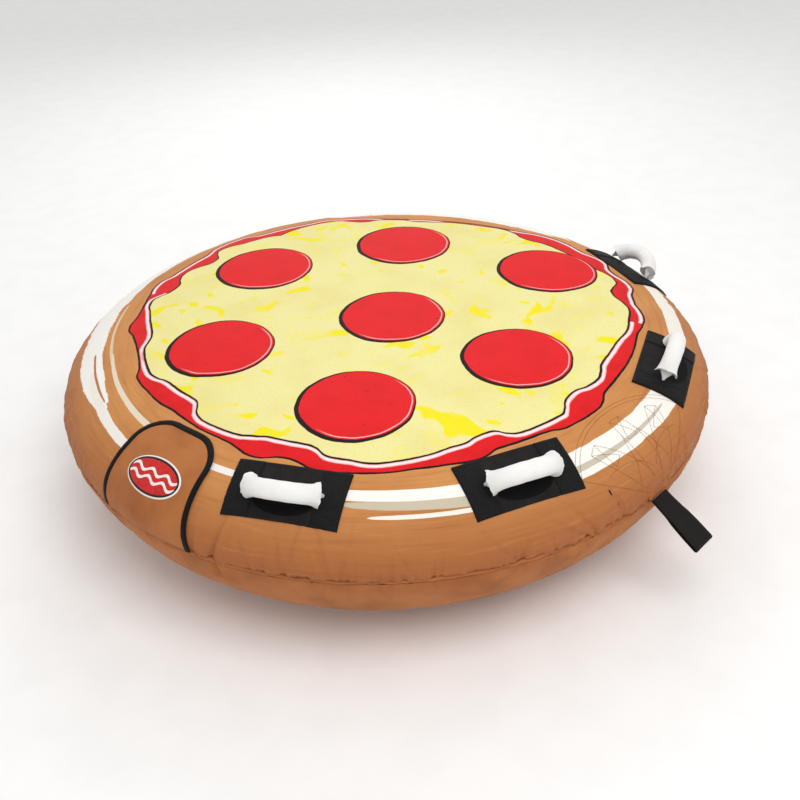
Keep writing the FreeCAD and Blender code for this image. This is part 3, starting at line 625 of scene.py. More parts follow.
# %% Cover panels
def top_panel():
    rows = ring_rows(((0.0, 0.36, 0.021, 160), (0.36, 0.48, 0.011, 320), (0.48, 0.60, 0.0075, 640),
                      (0.60, SEAM_S - 0.0022, 0.0048, 1280)))

    def spots(s, azimuth):
        return on_skin(s, azimuth, pucker(azimuth, s))

    points, faces, cut = disc_mesh(rows, spots, flip=False)
    obj = mesh_object("cover_top", points, faces, "tube", PRINT, cut)
    centre = skin_frame(cloth_at(VALVE_R), FLAP_AT)
    work = bmesh.new()
    work.from_mesh(obj.data)
    inverse = centre.inverted()
    inside = [v for v in work.verts
              if (inverse @ v.co).xy.length < VALVE_WINDOW_R and abs((inverse @ v.co).z) < 0.03]
    bmesh.ops.delete(work, geom=inside, context="VERTS")
    for v in work.verts:
        spot = inverse @ v.co
        if v.is_boundary and spot.xy.length < VALVE_WINDOW_R + 0.01 and abs(spot.z) < 0.03:
            grow = VALVE_WINDOW_R / spot.xy.length
            v.co = centre @ Vector((spot.x * grow, spot.y * grow, spot.z))
    work.to_mesh(obj.data)
    work.free()
    thicken(obj, CLOTH)
    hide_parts("cover_top_panel")
    return obj


def bottom_panel():
    """Lower panel with the zip's slit."""
    zip_s = TOTAL - (RUN[-1] - np.interp(-ZIP_R, -LINE[3000:, 0], RUN[3000:]))
    low, high = TOTAL - zip_s - ZIP_SLIT, TOTAL - zip_s + ZIP_SLIT
    edge = TOTAL - SEAM_S - 0.0022
    rows = ring_rows(((0.0, 0.36, 0.024, 180), (0.36, low, 0.012, 360), (low, high, 0.0047, 720),
                      (high, edge, 0.0062, 720)))

    def spots(s, azimuth):
        return on_skin(TOTAL - s, azimuth, pucker(azimuth, TOTAL - s))

    points, faces, cut = disc_mesh(rows, spots, flip=True)
    distance = np.hypot(cut[:, 0], cut[:, 1])
    azimuth = np.degrees(np.arctan2(cut[:, 1], cut[:, 0]))

    def in_slit(face):
        away = np.abs((azimuth[list(face)] - ZIP_AT + 180) % 360 - 180)
        span = distance[list(face)]
        return span.min() > low - 1e-4 and span.max() < high + 1e-4 and away.max() < ZIP_HALF - 0.9

    faces = [f for f in faces if not in_slit(f)]
    obj = mesh_object("cover_bottom", points, faces, "tube", TAN_CLOTH, cut)
    thicken(obj, CLOTH)
    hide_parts("cover_bottom_panel")
    return obj


COVER_TOP = top_panel()
COVER_BOTTOM = bottom_panel()
print("cover", len(COVER_TOP.data.polygons), len(COVER_BOTTOM.data.polygons))

# %% Seam welt
def seam_welt():
    """Folded seam allowance: a narrow lip that wavers with the puckers."""
    count = 900
    turn = np.radians(np.linspace(TOW_AT + 2.6, TOW_AT + 357.4, count))
    ring = np.stack([np.cos(turn), np.sin(turn), np.zeros(count)], -1)
    rise = 0.0016 * wander(ring * 30, 1.0, 8) + 0.0009 * wander(ring * 90, 1.0, 9)
    proud = 0.0007 * wander(ring * 60, 1.0, 10)
    section = ((-0.004, -0.0024), (0.0008, -0.0028), (0.0030, -0.0014), (0.0033, 0.0004), (0.0028, 0.0018),
               (0.0006, 0.0026), (-0.004, 0.0024))
    rings = []
    for k in range(count):
        across, along = math.cos(turn[k]), math.sin(turn[k])
        reach = [(SEAM_R + proud[k] + a, SEAM_Z + b + rise[k]) for a, b in section]
        rings.append([(r * across, r * along, z) for r, z in reach])
    obj = tube("seam_welt", np.array(rings), "tube", TAN_OBJECT)
    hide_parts("perimeter_welt")
    return obj


seam_welt()

# %% [markdown]
# ## Sewn pieces on the cover
# Each sewn piece is cut flat and laid on the skin, in a frame of its own: x along the tube, y down the cloth.

# %% Laying flat cuts on the skin
def lay_on_skin(place, x, y, lift, start_s, start_azimuth):
    """Points on the skin under flat places (x, y) of a sewing frame, lifted off the skin."""
    inverse = np.array(place.inverted())
    x, y, lift = np.broadcast_arrays(*(np.asarray(v, float) for v in (x, y, lift)))
    s = np.full(x.shape, float(start_s))
    azimuth = np.full(x.shape, float(start_azimuth))
    for _ in range(26):
        spot = on_skin(s, azimuth) @ inverse[:3, :3].T + inverse[:3, 3]
        s = s + (y - spot[..., 1])
        azimuth = azimuth - np.degrees((x - spot[..., 0]) / 0.6)
    return on_skin(s, azimuth, lift)


def smooth_step(value, low, high):
    share = np.clip((np.asarray(value, float) - low) / (high - low), 0, 1)
    return share * share * (3 - 2 * share)


def sewn_slab(name, place, x, y, low, high, start, body, material):
    """A thin piece of cloth between two lifts, over grids of flat places."""
    upper = lay_on_skin(place, x, y, high, *start)
    lower = lay_on_skin(place, x, y, low, *start)
    cut = np.stack([x, y], -1).reshape(-1, 2)
    return slab(name, upper, lower, body, material, np.vstack([cut, cut]))

# %% [markdown]
# ## Repeats
# Stitches and zip teeth are one small shape set on a row of points, with a little variation.

# %% Row of repeats
def repeat_group():
    tree = bpy.data.node_groups.new("shape_on_row", "GeometryNodeTree")
    for label, kind, way in (("Row", "NodeSocketGeometry", "INPUT"), ("Shape", "NodeSocketObject", "INPUT"),
                             ("Finish", "NodeSocketMaterial", "INPUT"), ("Variation", "NodeSocketFloat", "INPUT"),
                             ("Seed", "NodeSocketInt", "INPUT"), ("Repeats", "NodeSocketGeometry", "OUTPUT")):
        tree.interface.new_socket(label, in_out=way, socket_type=kind)

    def add(kind, **settings):
        node = tree.nodes.new(kind)
        for key, value in settings.items():
            setattr(node, key, value)
        return node

    link = tree.links.new
    given, made = add("NodeGroupInput"), add("NodeGroupOutput")
    along = add("GeometryNodeInputNamedAttribute", data_type="FLOAT_VECTOR")
    out = add("GeometryNodeInputNamedAttribute", data_type="FLOAT_VECTOR")
    along.inputs["Name"].default_value, out.inputs["Name"].default_value = "along", "out"
    first = add("FunctionNodeAlignRotationToVector", axis="X")
    second = add("FunctionNodeAlignRotationToVector", axis="Z", pivot_axis="X")
    shape = add("GeometryNodeObjectInfo")
    low = add("ShaderNodeMath", operation="SUBTRACT")
    high = add("ShaderNodeMath", operation="ADD")
    low.inputs[0].default_value = high.inputs[0].default_value = 1.0
    size = add("FunctionNodeRandomValue", data_type="FLOAT")
    place = add("GeometryNodeInstanceOnPoints")
    plain_mesh, coat = add("GeometryNodeRealizeInstances"), add("GeometryNodeSetMaterial")
    link(along.outputs["Attribute"], first.inputs["Vector"])
    link(first.outputs[0], second.inputs["Rotation"])
    link(out.outputs["Attribute"], second.inputs["Vector"])
    link(given.outputs["Shape"], shape.inputs["Object"])
    link(given.outputs["Variation"], low.inputs[1])
    link(given.outputs["Variation"], high.inputs[1])
    link(low.outputs[0], size.inputs[2])
    link(high.outputs[0], size.inputs[3])
    link(given.outputs["Seed"], size.inputs["Seed"])
    link(given.outputs["Row"], place.inputs["Points"])
    link(shape.outputs["Geometry"], place.inputs["Instance"])
    link(second.outputs[0], place.inputs["Rotation"])
    link(size.outputs[1], place.inputs["Scale"])
    link(place.outputs[0], plain_mesh.inputs[0])
    link(plain_mesh.outputs[0], coat.inputs["Geometry"])
    link(given.outputs["Finish"], coat.inputs["Material"])
    link(coat.outputs[0], made.inputs["Repeats"])
    return tree


ON_ROW = repeat_group()


def repeat_on_row(name, shape, row, body, material, variation=0.08, seed=1):
    """Set a shape on every (place, along, out) of a row, and turn the result into plain mesh."""
    mesh = bpy.data.meshes.new(name)
    mesh.from_pydata([tuple(map(float, r[0])) for r in row], [], [])
    for key, column in (("along", 1), ("out", 2)):
        layer = mesh.attributes.new(key, "FLOAT_VECTOR", "POINT")
        layer.data.foreach_set("vector", np.array([r[column] for r in row], np.float32).ravel())
    obj = bpy.data.objects.new(name, mesh)
    bpy.context.scene.collection.objects.link(obj)
    rows = obj.modifiers.new("row", "NODES")
    rows.node_group = ON_ROW
    keys = {item.name: item.identifier for item in ON_ROW.interface.items_tree}
    for key, value in (("Shape", shape), ("Finish", material), ("Variation", variation), ("Seed", seed)):
        rows[keys[key]] = value
    bpy.context.view_layer.update()
    finish_modifiers(obj)
    if not obj.data.materials:
        obj.data.materials.append(material)
    obj.data.polygons.foreach_set("use_smooth", [True] * len(obj.data.polygons))
    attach(obj, body)
    return obj


def small_shape(name, length, width, height):
    """A rounded bead of one stitch, along X."""
    work = bmesh.new()
    bmesh.ops.create_icosphere(work, subdivisions=1, radius=0.5)
    bmesh.ops.scale(work, vec=(length, width, height), verts=work.verts)
    mesh = bpy.data.meshes.new(name)
    work.to_mesh(mesh)
    work.free()
    shape = bpy.data.objects.new(name, mesh)
    bpy.context.scene.collection.objects.link(shape)
    return shape


STITCH = small_shape("stitch_shape", 0.0030, 0.0009, 0.0008)
FINE_STITCH = small_shape("fine_stitch_shape", 0.0026, 0.0007, 0.0006)
FAN_STITCH = small_shape("fan_stitch_shape", 0.0038, 0.0011, 0.0006)


def row_along(path, outs, pitch):
    """Places every pitch along a path of points, each with its direction and its way out of the cloth."""
    path, outs = np.asarray(path, float), np.asarray(outs, float)
    run = np.concatenate([[0], np.cumsum(np.linalg.norm(np.diff(path, axis=0), axis=1))])
    count = max(2, round(run[-1] / pitch))
    at = (np.arange(count) + 0.5) * run[-1] / count
    row = []
    for d in at:
        here, before, after = (np.array([np.interp(d + k, run, path[:, c]) for c in range(3)])
                               for k in (0, -1e-3, 1e-3))
        out = np.array([np.interp(d, run, outs[:, c]) for c in range(3)])
        row.append((here, after - before, out))
    return row


def laid_row(place, points, lift, start, pitch):
    """Stitch places along a polyline of flat places on the skin."""
    points = np.asarray(points, float)
    run = np.concatenate([[0], np.cumsum(np.hypot(*np.diff(points, axis=0).T))])
    count = max(2, int(run[-1] / 0.004))
    at = np.linspace(0, run[-1], count)
    x, y = np.interp(at, run, points[:, 0]), np.interp(at, run, points[:, 1])
    low = lay_on_skin(place, x, y, lift, *start)
    high = lay_on_skin(place, x, y, lift + 0.01, *start)
    return row_along(low, high - low, pitch)

# %% [markdown]
# ## Grab handles
# A pad with a rough webbing patch at each end, and a bowed foam grip in a white sleeve that flares into ragged
# ears on the patches.

# %% Pads and patches
def pad_finish():
    """Smooth pad cloth, with the grip's shadow painted on it as a near-black oval under the grip."""
    f = Finish("black_pad_cloth", "1D1C20", 0.65, 0.0)
    cut = f.cut_place()
    split = f.add("ShaderNodeSeparateXYZ", {0: cut})
    across = f.maths("POWER", f.maths("ABSOLUTE", f.maths("DIVIDE", split.outputs[0], 0.050)), 2.0)
    down = f.maths("DIVIDE", f.maths("SUBTRACT", split.outputs[1], 0.016), 0.025)
    oval = f.maths("ADD", across, f.maths("POWER", f.maths("ABSOLUTE", down), 2.0))
    tone = f.mix(f.ramp(f.grain(cut, 30, detail=4), 0.35, 0.7), "1B1918", "242121")
    # painted shadow: the oval under the bowed grip is darkened to near black
    tone = f.mix(f.ramp(oval, 1.06, 0.94), tone, "030304")
    normal = f.bump(f.weave(cut, 1.0), 0.1)
    normal = f.bump(f.grain(cut, 12, detail=3), 0.5, normal)
    return f.wear(normal, tone)


PAD_CLOTH = pad_finish()


def flat_grid(x0, x1, y0, y1, columns, rows):
    return np.meshgrid(np.linspace(x0, x1, columns), np.linspace(y0, y1, rows))


def make_pad(number, place, start):
    half_x, half_y = PAD_LONG / 2, PAD_WIDE / 2
    x, y = flat_grid(-half_x, half_x, -half_y, half_y, 81, 41)
    x, y = np.sign(x) * half_x * np.abs(x / half_x) ** 0.92, np.sign(y) * half_y * np.abs(y / half_y) ** 0.86
    edge = np.minimum(half_x - np.abs(x), half_y - np.abs(y))
    rounded = 0.0011 * (1 - smooth_step(edge, 0, 0.003))
    sewn = 0.0005 * np.exp(-((edge - 0.005) / 0.0016) ** 2)
    oval = (x / 0.050) ** 2 + ((y - 0.016) / 0.025) ** 2
    dip = 0.0010 * (1 - smooth_step(oval, 0.75, 1.1))
    loose = 0.0002 * wander_over(x * 30, y * 30, number, 11)
    swell = np.where(np.abs(x) < half_x - ANCHOR_LONG, 0.0004, 0.0)
    high = 0.0029 - rounded - sewn - dip + loose + swell
    pad = sewn_slab(f"handle_{number}_pad_cloth", place, x, y, 0.0003, high, start, "tube", PAD_CLOTH)
    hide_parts(f"handle_{number}_pad")
    for side, word in ((-1, "left"), (1, "right")):
        inner, outer = side * (half_x - ANCHOR_LONG), side * (half_x - 0.0006)
        x, y = flat_grid(inner, outer, -half_y + 0.0006, half_y - 0.0006, 27, 41)
        fray = 0.0005 * wander_over(x * 300, y * 300, number, 12)
        rim = np.minimum(np.abs(x - inner), np.minimum(np.abs(outer - x), half_y - 0.0006 - np.abs(y)))
        x, y = x + fray * (rim < 0.001), y + fray * (rim < 0.001)
        high = 0.0045 - 0.0008 * (1 - smooth_step(rim, 0, 0.0016)) + 0.5 * fray
        patch = sewn_slab(f"handle_{number}_patch_{word}", place, x, y, 0.0031, high, start, "tube", ANCHOR_WEB)
        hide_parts(f"handle_{number}_anchor_patches")
    edge_x, inner_x = half_x - 0.006, half_x - ANCHOR_LONG + 0.003
    box = ((-edge_x, -0.044), (edge_x, -0.044), (edge_x, 0.044), (-edge_x, 0.044), (-edge_x, -0.044))
    rows = laid_row(place, box, 0.0046, start, 0.0036)
    for side in (-1, 1):
        rows += laid_row(place, ((side * inner_x, -0.044), (side * inner_x, 0.044)), 0.0046, start, 0.0036)
        rows += laid_row(place, ((side * inner_x, -0.044), (side * edge_x, 0.044)), 0.0046, start, 0.0036)
        rows += laid_row(place, ((side * inner_x, 0.044), (side * edge_x, -0.044)), 0.0046, start, 0.0036)
    repeat_on_row(f"handle_{number}_stitches", STITCH, rows, "tube", THREAD_BLACK, seed=number)

# %% Grips
def bow_ring(angle, half_wide, half_thick, steps=32, squareness=2.0, ears=0.0):
    """Points around the bow at an angle, in the upright handle's frame."""
    theta = np.arange(steps) * 2 * math.pi / steps
    c, s = np.cos(theta), np.sin(theta)
    wide = half_wide * np.sign(c) * np.abs(c) ** (2 / squareness)
    thick = half_thick * np.sign(s) * np.abs(s) ** (2 / squareness)
    a = math.radians(angle)
    reach = ears * np.abs(c) ** 8 * (1 if angle >= 0 else -1)
    return np.stack([(BOW_R + thick) * math.sin(a) + reach * math.cos(a), wide,
                     (BOW_R + thick) * math.cos(a) - (BOW_R - BOW_TOP) - np.abs(reach) * math.sin(abs(a))], -1)


def lean_over(points, lean, place, start, rest_at=None):
    """Lean upright handle points outwards about the hinge line, and rest them on the pad if they sink."""
    tilt = np.array(Matrix.Rotation(math.radians(-lean), 3, "X"))
    local = points @ tilt.T + np.array([0, 0, PIVOT_LIFT])
    if rest_at is not None:
        skin = lay_on_skin(place, local[..., 0], local[..., 1], rest_at, *start)
        inverse = np.array(place.inverted())
        floor_z = (skin @ inverse[:3, :3].T + inverse[:3, 3])[..., 2]
        local[..., 2] = np.maximum(local[..., 2], floor_z)
    world = np.array(place)
    return local @ world[:3, :3].T + world[:3, 3]


def make_grip(number, place, lean, start):
    body = f"grip_{number}"
    foot = math.degrees(math.asin(math.sqrt(BOW_R ** 2 - (BOW_R - BOW_TOP) ** 2) / BOW_R))
    spots = (0, 36, 44, 48.5, 52)
    wides = (0.0156, 0.0157, 0.0162, 0.0174, 0.0208)
    thicks = (0.0156, 0.0158, 0.0163, 0.0163, 0.0156)
    for side, word in ((-1, "left"), (1, "right")):
        rings = []
        angles = np.concatenate([[0, 0.3], np.linspace(2, 52, 42)])
        for angle, inset in [*((angle, 0.0) for angle in angles), (51.2, 0.0010), (50.0, 0.0012)]:
            wide, thick = np.interp(angle, spots, wides) - inset * 2, np.interp(angle, spots, thicks) - inset
            rings.append(bow_ring(side * angle, wide, thick, ears=0.0055 * float(smooth_step(angle, 45.5, 52))))
        rings = np.array(rings)
        middle = rings.mean(axis=1, keepdims=True)
        away = rings - middle
        away /= np.maximum(np.linalg.norm(away, axis=-1, keepdims=True), 1e-6)
        theta = np.arange(rings.shape[1]) * 2 * math.pi / rings.shape[1]
        end = smooth_step(np.concatenate([angles, [51.2, 50.0]]), 30, 52)[:, None]
        flat = np.stack([rings[..., 0] * 70, np.cos(theta)[None] * 1.1 + 0 * rings[..., 0],
                         np.sin(theta)[None] * 1.1 + number * 3 + 0 * rings[..., 0]], -1).reshape(-1, 3)
        creases = wander(flat, 1.0, 13).reshape(rings.shape[:2])
        folds = wander(flat * np.array([0.35, 3.2, 3.2]), 1.0, 14).reshape(rings.shape[:2])
        seam = np.exp(-((np.angle(np.exp(1j * (theta - 1.75 * math.pi)))) / 0.12) ** 2)[None]
        fray = wander(flat * np.array([7.0, 1, 1]), 1.0, 15).reshape(rings.shape[:2])
        push = 0.0006 * creases + (0.0003 + 0.0010 * end) * folds + 0.0009 * seam * (1 + fray)
        push = np.maximum(push, -0.0004)
        tip = smooth_step(np.concatenate([angles, [51.2, 50.0]]), 47.5, 52)[:, None]
        rings = rings + away * push[..., None]
        ragged = wander(flat * np.array([1, 6.0, 6.0]), 1.0, 16).reshape(rings.shape[:2])
        rings[..., 0] += side * 0.0022 * tip * ragged
        sleeve_points = lean_over(rings, lean, place, start, rest_at=0.0052)
        around = np.cumsum(np.concatenate([[0], np.linalg.norm(np.diff(rings[0], axis=0), axis=1)]))
        along = np.radians(np.concatenate([angles, [58.5, 63.0]])) * BOW_R
        cut = np.stack(np.meshgrid(around, along), -1)
        sleeve = tube(f"handle_{number}_sleeve_{word}", sleeve_points, None, WHITE_SLEEVE, cut.reshape(-1, 2))
        hinge = lambda a: Vector(lean_over(bow_ring(side * a, 0, 0, 1), lean, place, start)[0].tolist())
        tuple(hinge(57.0))
        tuple(hinge(40.0))
        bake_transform(sleeve)
        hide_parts(f"handle_{number}_grip_sleeve")
    rings = []
    for angle in np.linspace(-foot, foot, 41):
        narrow = 0.012 - 0.0098 * float(smooth_step(abs(angle), 50, foot))
        rings.append(bow_ring(angle, narrow, 0.0014, steps=12, squareness=5.0))
    along = np.radians(np.linspace(-foot, foot, 41)) * BOW_R
    cut = np.stack(np.meshgrid(np.linspace(0, 0.054, 12), along), -1).reshape(-1, 2)
    strap_points = lean_over(np.array(rings), lean, place, start)
    strap = tube(f"handle_{number}_core_strap", strap_points, body, STRAP_WEB, cut)
    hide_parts(f"handle_{number}_strap")


for number, (radius, at, lean) in enumerate(zip(HANDLE_R, HANDLE_AT, HANDLE_LEAN), 1):
    start = (cloth_at(radius), at)
    place = skin_frame(*start)
    make_pad(number, place, start)
    make_grip(number, place, lean, start)

# %% [markdown]
# ## Valve flap
# A bound flap of cover cloth, sewn into the seam and closed with hook tape, with a plain oval badge.

# %% Flap outline
FLAP_HALF_LOW, FLAP_HALF_HIGH, FLAP_CORNER, FLAP_SKEW = 0.106, 0.086, 0.056, 0.011


def flap_place():
    turn = math.radians(FLAP_AT)
    radial = Vector((math.cos(turn), math.sin(turn), 0))
    foot = radial * (SEAM_R + 0.004) + Vector((0, 0, SEAM_Z + 0.0032))
    head = radial * FLAP_TOP_R + Vector((0, 0, float(top_z(FLAP_TOP_R)) + 0.004))
    down = (foot - head).normalized()
    along = Vector((math.sin(turn), -math.cos(turn), 0))
    out = along.cross(down)
    return Matrix.Translation(foot) @ Matrix((along, down, out)).transposed().to_4x4(), (head - foot).length


FLAP_PLACE, FLAP_REACH = flap_place()
FLAP_START = (SEAM_S - 0.08, FLAP_AT)


def flap_half(y):
    """Half width of the flap at a height y up its length."""
    shoulder = FLAP_REACH - FLAP_CORNER
    plain_half = FLAP_HALF_LOW - (FLAP_HALF_LOW - FLAP_HALF_HIGH) * y / FLAP_REACH
    share = np.clip((y - shoulder) / FLAP_CORNER, 0, 1)
    return plain_half - FLAP_CORNER * (1 - np.sqrt(1 - share ** 2))


def flap_foot(x):
    """Height, up the flap, of the line where it is sewn in, just above the seam."""
    inverse = np.array(FLAP_PLACE.inverted())
    line = on_skin(SEAM_S - 0.0042, FLAP_AT - np.degrees(np.arcsin(np.asarray(x) / SEAM_R)))
    return -(line @ inverse[:3, :3].T + inverse[:3, 3])[..., 1]


def flap_lift(x, y):
    """The cloth's height off the skin: sewn down at its foot, loose and a little wavy above."""
    flat = np.stack([x * 22, y * 14, 0 * x], -1).reshape(-1, 3)
    wave = 0.0011 * wander(flat, 1.0, 21) + 0.0005 * wander(flat * 3, 1.0, 22)
    gathers = wander_over(x * 60, y * 5, 2, 23)
    sewn = np.exp(-np.maximum(y, 0) / 0.03)
    dart = 0.0035 * np.exp(-((x - 0.012 + (y - 0.03) * 0.6) / 0.004) ** 2) * np.exp(-((y - 0.028) / 0.016) ** 2)
    return 0.0036 + wave.reshape(x.shape) + sewn * (0.0014 * gathers - 0.0006) + dart


def make_flap():
    rise = 1 - (1 - np.linspace(0, 1, 64)) ** 1.4
    share, height = np.meshgrid(np.linspace(-1, 1, 73), rise * (FLAP_REACH - 0.004))
    x = FLAP_SKEW * height / FLAP_REACH + share * (flap_half(height) - 0.004)
    y = height + flap_foot(x) * (1 - height / FLAP_REACH)
    lift = flap_lift(x, y)
    cloth = sewn_slab("valve_flap_cloth", FLAP_PLACE, x, -y, lift, lift + CLOTH, FLAP_START, "valve_flap",
                      TAN_CLOTH)
    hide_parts("valve_flap")
    rising = np.linspace(0, FLAP_REACH - FLAP_CORNER, 50)
    bend = np.radians(np.linspace(3, 90, 30))
    heights = np.concatenate([rising, FLAP_REACH - FLAP_CORNER + FLAP_CORNER * np.sin(bend)])
    side_x = FLAP_SKEW * heights / FLAP_REACH
    right = np.stack([side_x + flap_half(heights), heights], -1)
    left = np.stack([side_x - flap_half(heights), heights], -1)
    path = np.vstack([left, right[::-1]])
    path[:, 1] += flap_foot(path[:, 0]) * (1 - path[:, 1] / FLAP_REACH)
    run = np.concatenate([[0], np.cumsum(np.hypot(*np.diff(path, axis=0).T))])
    even = np.linspace(0, run[-1], 220)
    path = np.stack([np.interp(even, run, path[:, 0]), np.interp(even, run, path[:, 1])], -1)
    slope = np.gradient(path, axis=0)
    slope /= np.linalg.norm(slope, axis=1, keepdims=True)
    inward = np.stack([slope[:, 1], -slope[:, 0]], -1)
    section = ((0.0100, 0.0015), (0.0094, 0.0022), (0.0060, 0.0025), (0.0018, 0.0024), (0.0, 0.0012),
               (0.0004, -0.0004), (0.0040, -0.0012), (0.0094, -0.0010), (0.0100, -0.0004))
    rings = []
    for inset, rise_by in section:
        spot = path + inward * inset
        waver = wander(np.stack([spot[:, 0] * 90, spot[:, 1] * 90, 0 * even], -1), 1.0, 24)
        lift = flap_lift(spot[:, 0], spot[:, 1]) + rise_by + 0.0003 * waver
        rings.append(lay_on_skin(FLAP_PLACE, spot[:, 0], -spot[:, 1], lift, *FLAP_START))
    rings = np.array(rings).transpose(1, 0, 2)
    cut = np.stack(np.meshgrid(np.linspace(0, 0.022, len(section)), even), -1).reshape(-1, 2)
    binding = tube("valve_flap_binding", rings, "valve_flap", BLACK_TAPE, cut)
    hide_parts("flap_binding")

    def on_flap(points, rise_by, pitch):
        points = np.asarray(points, float)
        lift = flap_lift(points[:, 0], points[:, 1]) + CLOTH + rise_by
        low = lay_on_skin(FLAP_PLACE, points[:, 0], -points[:, 1], lift, *FLAP_START)
        high = lay_on_skin(FLAP_PLACE, points[:, 0], -points[:, 1], lift + 0.01, *FLAP_START)
        return row_along(low, high - low, pitch)

    edge = path + inward * 0.0078
    rows = on_flap(edge, 0.0014, 0.0032)
    repeat_on_row("flap_binding_stitches", FINE_STITCH, rows, "valve_flap", THREAD_BLACK, seed=31)
    top, low = FLAP_REACH - 0.030, FLAP_REACH - 0.052
    centre = FLAP_SKEW * 0.9
    rows = []
    for height in (top, low):
        rows += on_flap([(centre + x, height) for x in np.linspace(-0.052, 0.052, 30)], 0.0001, 0.0040)
    for side in (-0.052, 0.052):
        rows += on_flap([(centre + side, h) for h in np.linspace(low, top, 8)], 0.0001, 0.0040)
    repeat_on_row("flap_tape_stitches", FINE_STITCH, rows, "valve_flap", THREAD_TAN, seed=32)


make_flap()

# %% Badge
def badge_finish():
    """Woven oval patch: pale edge, black ring, and a red field with two plain waves."""
    f = Finish("woven_badge", "D8231F", 0.55, 0.15)
    cut = f.cut_place()
    split = f.add("ShaderNodeSeparateXYZ", {0: cut})

    def scaled_length(power):
        scale = (1 / BADGE_LONG ** power, 1 / BADGE_HIGH ** power, 0)
        scaled = f.add("ShaderNodeVectorMath", {0: cut, 1: scale}, operation="MULTIPLY").outputs[0]
        return f.add("ShaderNodeVectorMath", {0: scaled}, operation="LENGTH").outputs["Value"]

    share = scaled_length(1)
    from_edge = f.maths("MULTIPLY", share, f.maths("SUBTRACT", 1.0, share))
    from_edge = f.maths("DIVIDE", from_edge, f.maths("ADD", scaled_length(2), 0.001))
    tone = f.mix(f.ramp(f.grain(cut, 8), 0.35, 0.7), "D8231F", "BE1D1A")
    phase = f.maths("MULTIPLY", split.outputs[0], 2 * math.pi / 0.034)
    wave = f.maths("MULTIPLY", f.maths("SINE", phase), 0.0038)
    for height in (-0.0065, 0.0065):
        off = f.maths("ABSOLUTE", f.maths("SUBTRACT", f.maths("SUBTRACT", split.outputs[1], height), wave))
        tone = f.mix(f.ramp(off, 0.0028, 0.0022), tone, "F1EEE8")
    tone = f.mix(f.ramp(from_edge, 0.0066, 0.0061), tone, "171516")
    tone = f.mix(f.ramp(from_edge, 0.0030, 0.0025), tone, "F1EEE8")
    threads = f.weave(cut, 0.8)
    return f.wear(f.bump(threads, 0.2), tone)


BADGE_LONG, BADGE_HIGH = 0.060, 0.032
BADGE = badge_finish()


def make_badge():
    middle_y = FLAP_REACH * 0.47
    shares = np.concatenate([np.linspace(0.0, 0.91, 20), [0.94, 0.965, 0.985, 0.996, 1.0]])
    theta = np.arange(96) * 2 * math.pi / 96
    share, turn = np.meshgrid(shares, theta, indexing="ij")
    x, y = share * BADGE_LONG * np.cos(turn), middle_y + share * BADGE_HIGH * np.sin(turn)
    dome = 0.0012 * np.sqrt(np.clip(1 - (np.clip(share - 0.91, 0, None) / 0.09) ** 2, 0, 1))
    base = flap_lift(x, y) + CLOTH + 0.0002
    upper = lay_on_skin(FLAP_PLACE, x, -y, base + dome, *FLAP_START)
    lower = lay_on_skin(FLAP_PLACE, x, -y, base, *FLAP_START)
    points = np.concatenate([upper[1:], lower[1:][::-1]])
    flat = np.stack([x, y - middle_y], -1)
    cut = np.concatenate([flat[1:], flat[1:][::-1]]).reshape(-1, 2)
    badge = tube("flap_oval_badge", points, "valve_flap", BADGE, cut)
    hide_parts("flap_badge")


make_badge()

# %% [markdown]
# ## Tow point
# Doubled webbing with an open eye, a small lip of cloth over its root, and rows of stitches over the hidden
# webs.

# %% Tow loop
def make_tow_loop():
    ply, eye_r, length, eye_long = 0.0026, 0.004, 0.116, 0.062
    end = length - eye_r - ply
    split = end - eye_long
    lane = 0.0030
    path = [(0.005, -ply / 2 - 0.0001), (split - 0.016, -ply / 2 - 0.0001), (split - 0.004, -lane * 0.55),
            (split + 0.008, -lane), (end, -lane)]
    path += [(end + lane * math.sin(a), -lane * math.cos(a)) for a in np.radians(np.linspace(10, 170, 15))]
    path += [(y, -z) for y, z in reversed(path[:5])]
    path = np.array(path)
    run = np.concatenate([[0], np.cumsum(np.hypot(*np.diff(path, axis=0).T))])
    even = np.linspace(0, run[-1], 150)
    path = np.stack([np.interp(even, run, path[:, 0]), np.interp(even, run, path[:, 1])], -1)
    slope = np.gradient(path, axis=0)
    slope /= np.linalg.norm(slope, axis=1, keepdims=True)
    out = np.stack([slope[:, 1], -slope[:, 0]], -1)
    half = 0.0205 + 0.0042 * smooth_step(path[:, 0], 0.0, 0.095)
    half = half + 0.0003 * wander(np.stack([even * 60, 0 * even, 0 * even], -1), 1.0, 41)
    rings = []
    around = [(-1.0, -0.3), (-0.97, -0.5), (-0.5, -0.5), (0.0, -0.5), (0.5, -0.5), (0.97, -0.5), (1.0, -0.3),
              (1.0, 0.3), (0.97, 0.5), (0.5, 0.5), (0.0, 0.5), (-0.5, 0.5), (-0.97, 0.5), (-1.0, 0.3)]
    root = np.exp(-path[:, 0] / 0.025)
    for u, v in around:
        curl = 0.0012 * u * u + 0.0022 * root * math.cos(u * 4.2)
        y = path[:, 0] + out[:, 0] * v * ply
        z = path[:, 1] + out[:, 1] * v * ply + curl
        rings.append(np.stack([half * u, y, z], -1))
    rings = np.array(rings).transpose(1, 0, 2)
    droop = Matrix.Rotation(math.radians(31), 4, "X") @ Matrix.Rotation(math.pi, 4, "Z")
    world = np.array(Matrix.Translation((0, -(SEAM_R + 0.001), SEAM_Z)) @ droop)
    rings = rings @ world[:3, :3].T + world[:3, 3]
    cut = np.stack(np.meshgrid([u * 0.025 for u, v in around], even), -1).reshape(-1, 2)
    loop = tube("tow_loop_webbing", rings, "tow_loop", TOW_WEB, cut)
    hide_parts("tow_loop")


make_tow_loop()

# %% Lip over the tow loop's root
TOW_START = (SEAM_S, TOW_AT)
TOW_PLACE = skin_frame(*TOW_START)


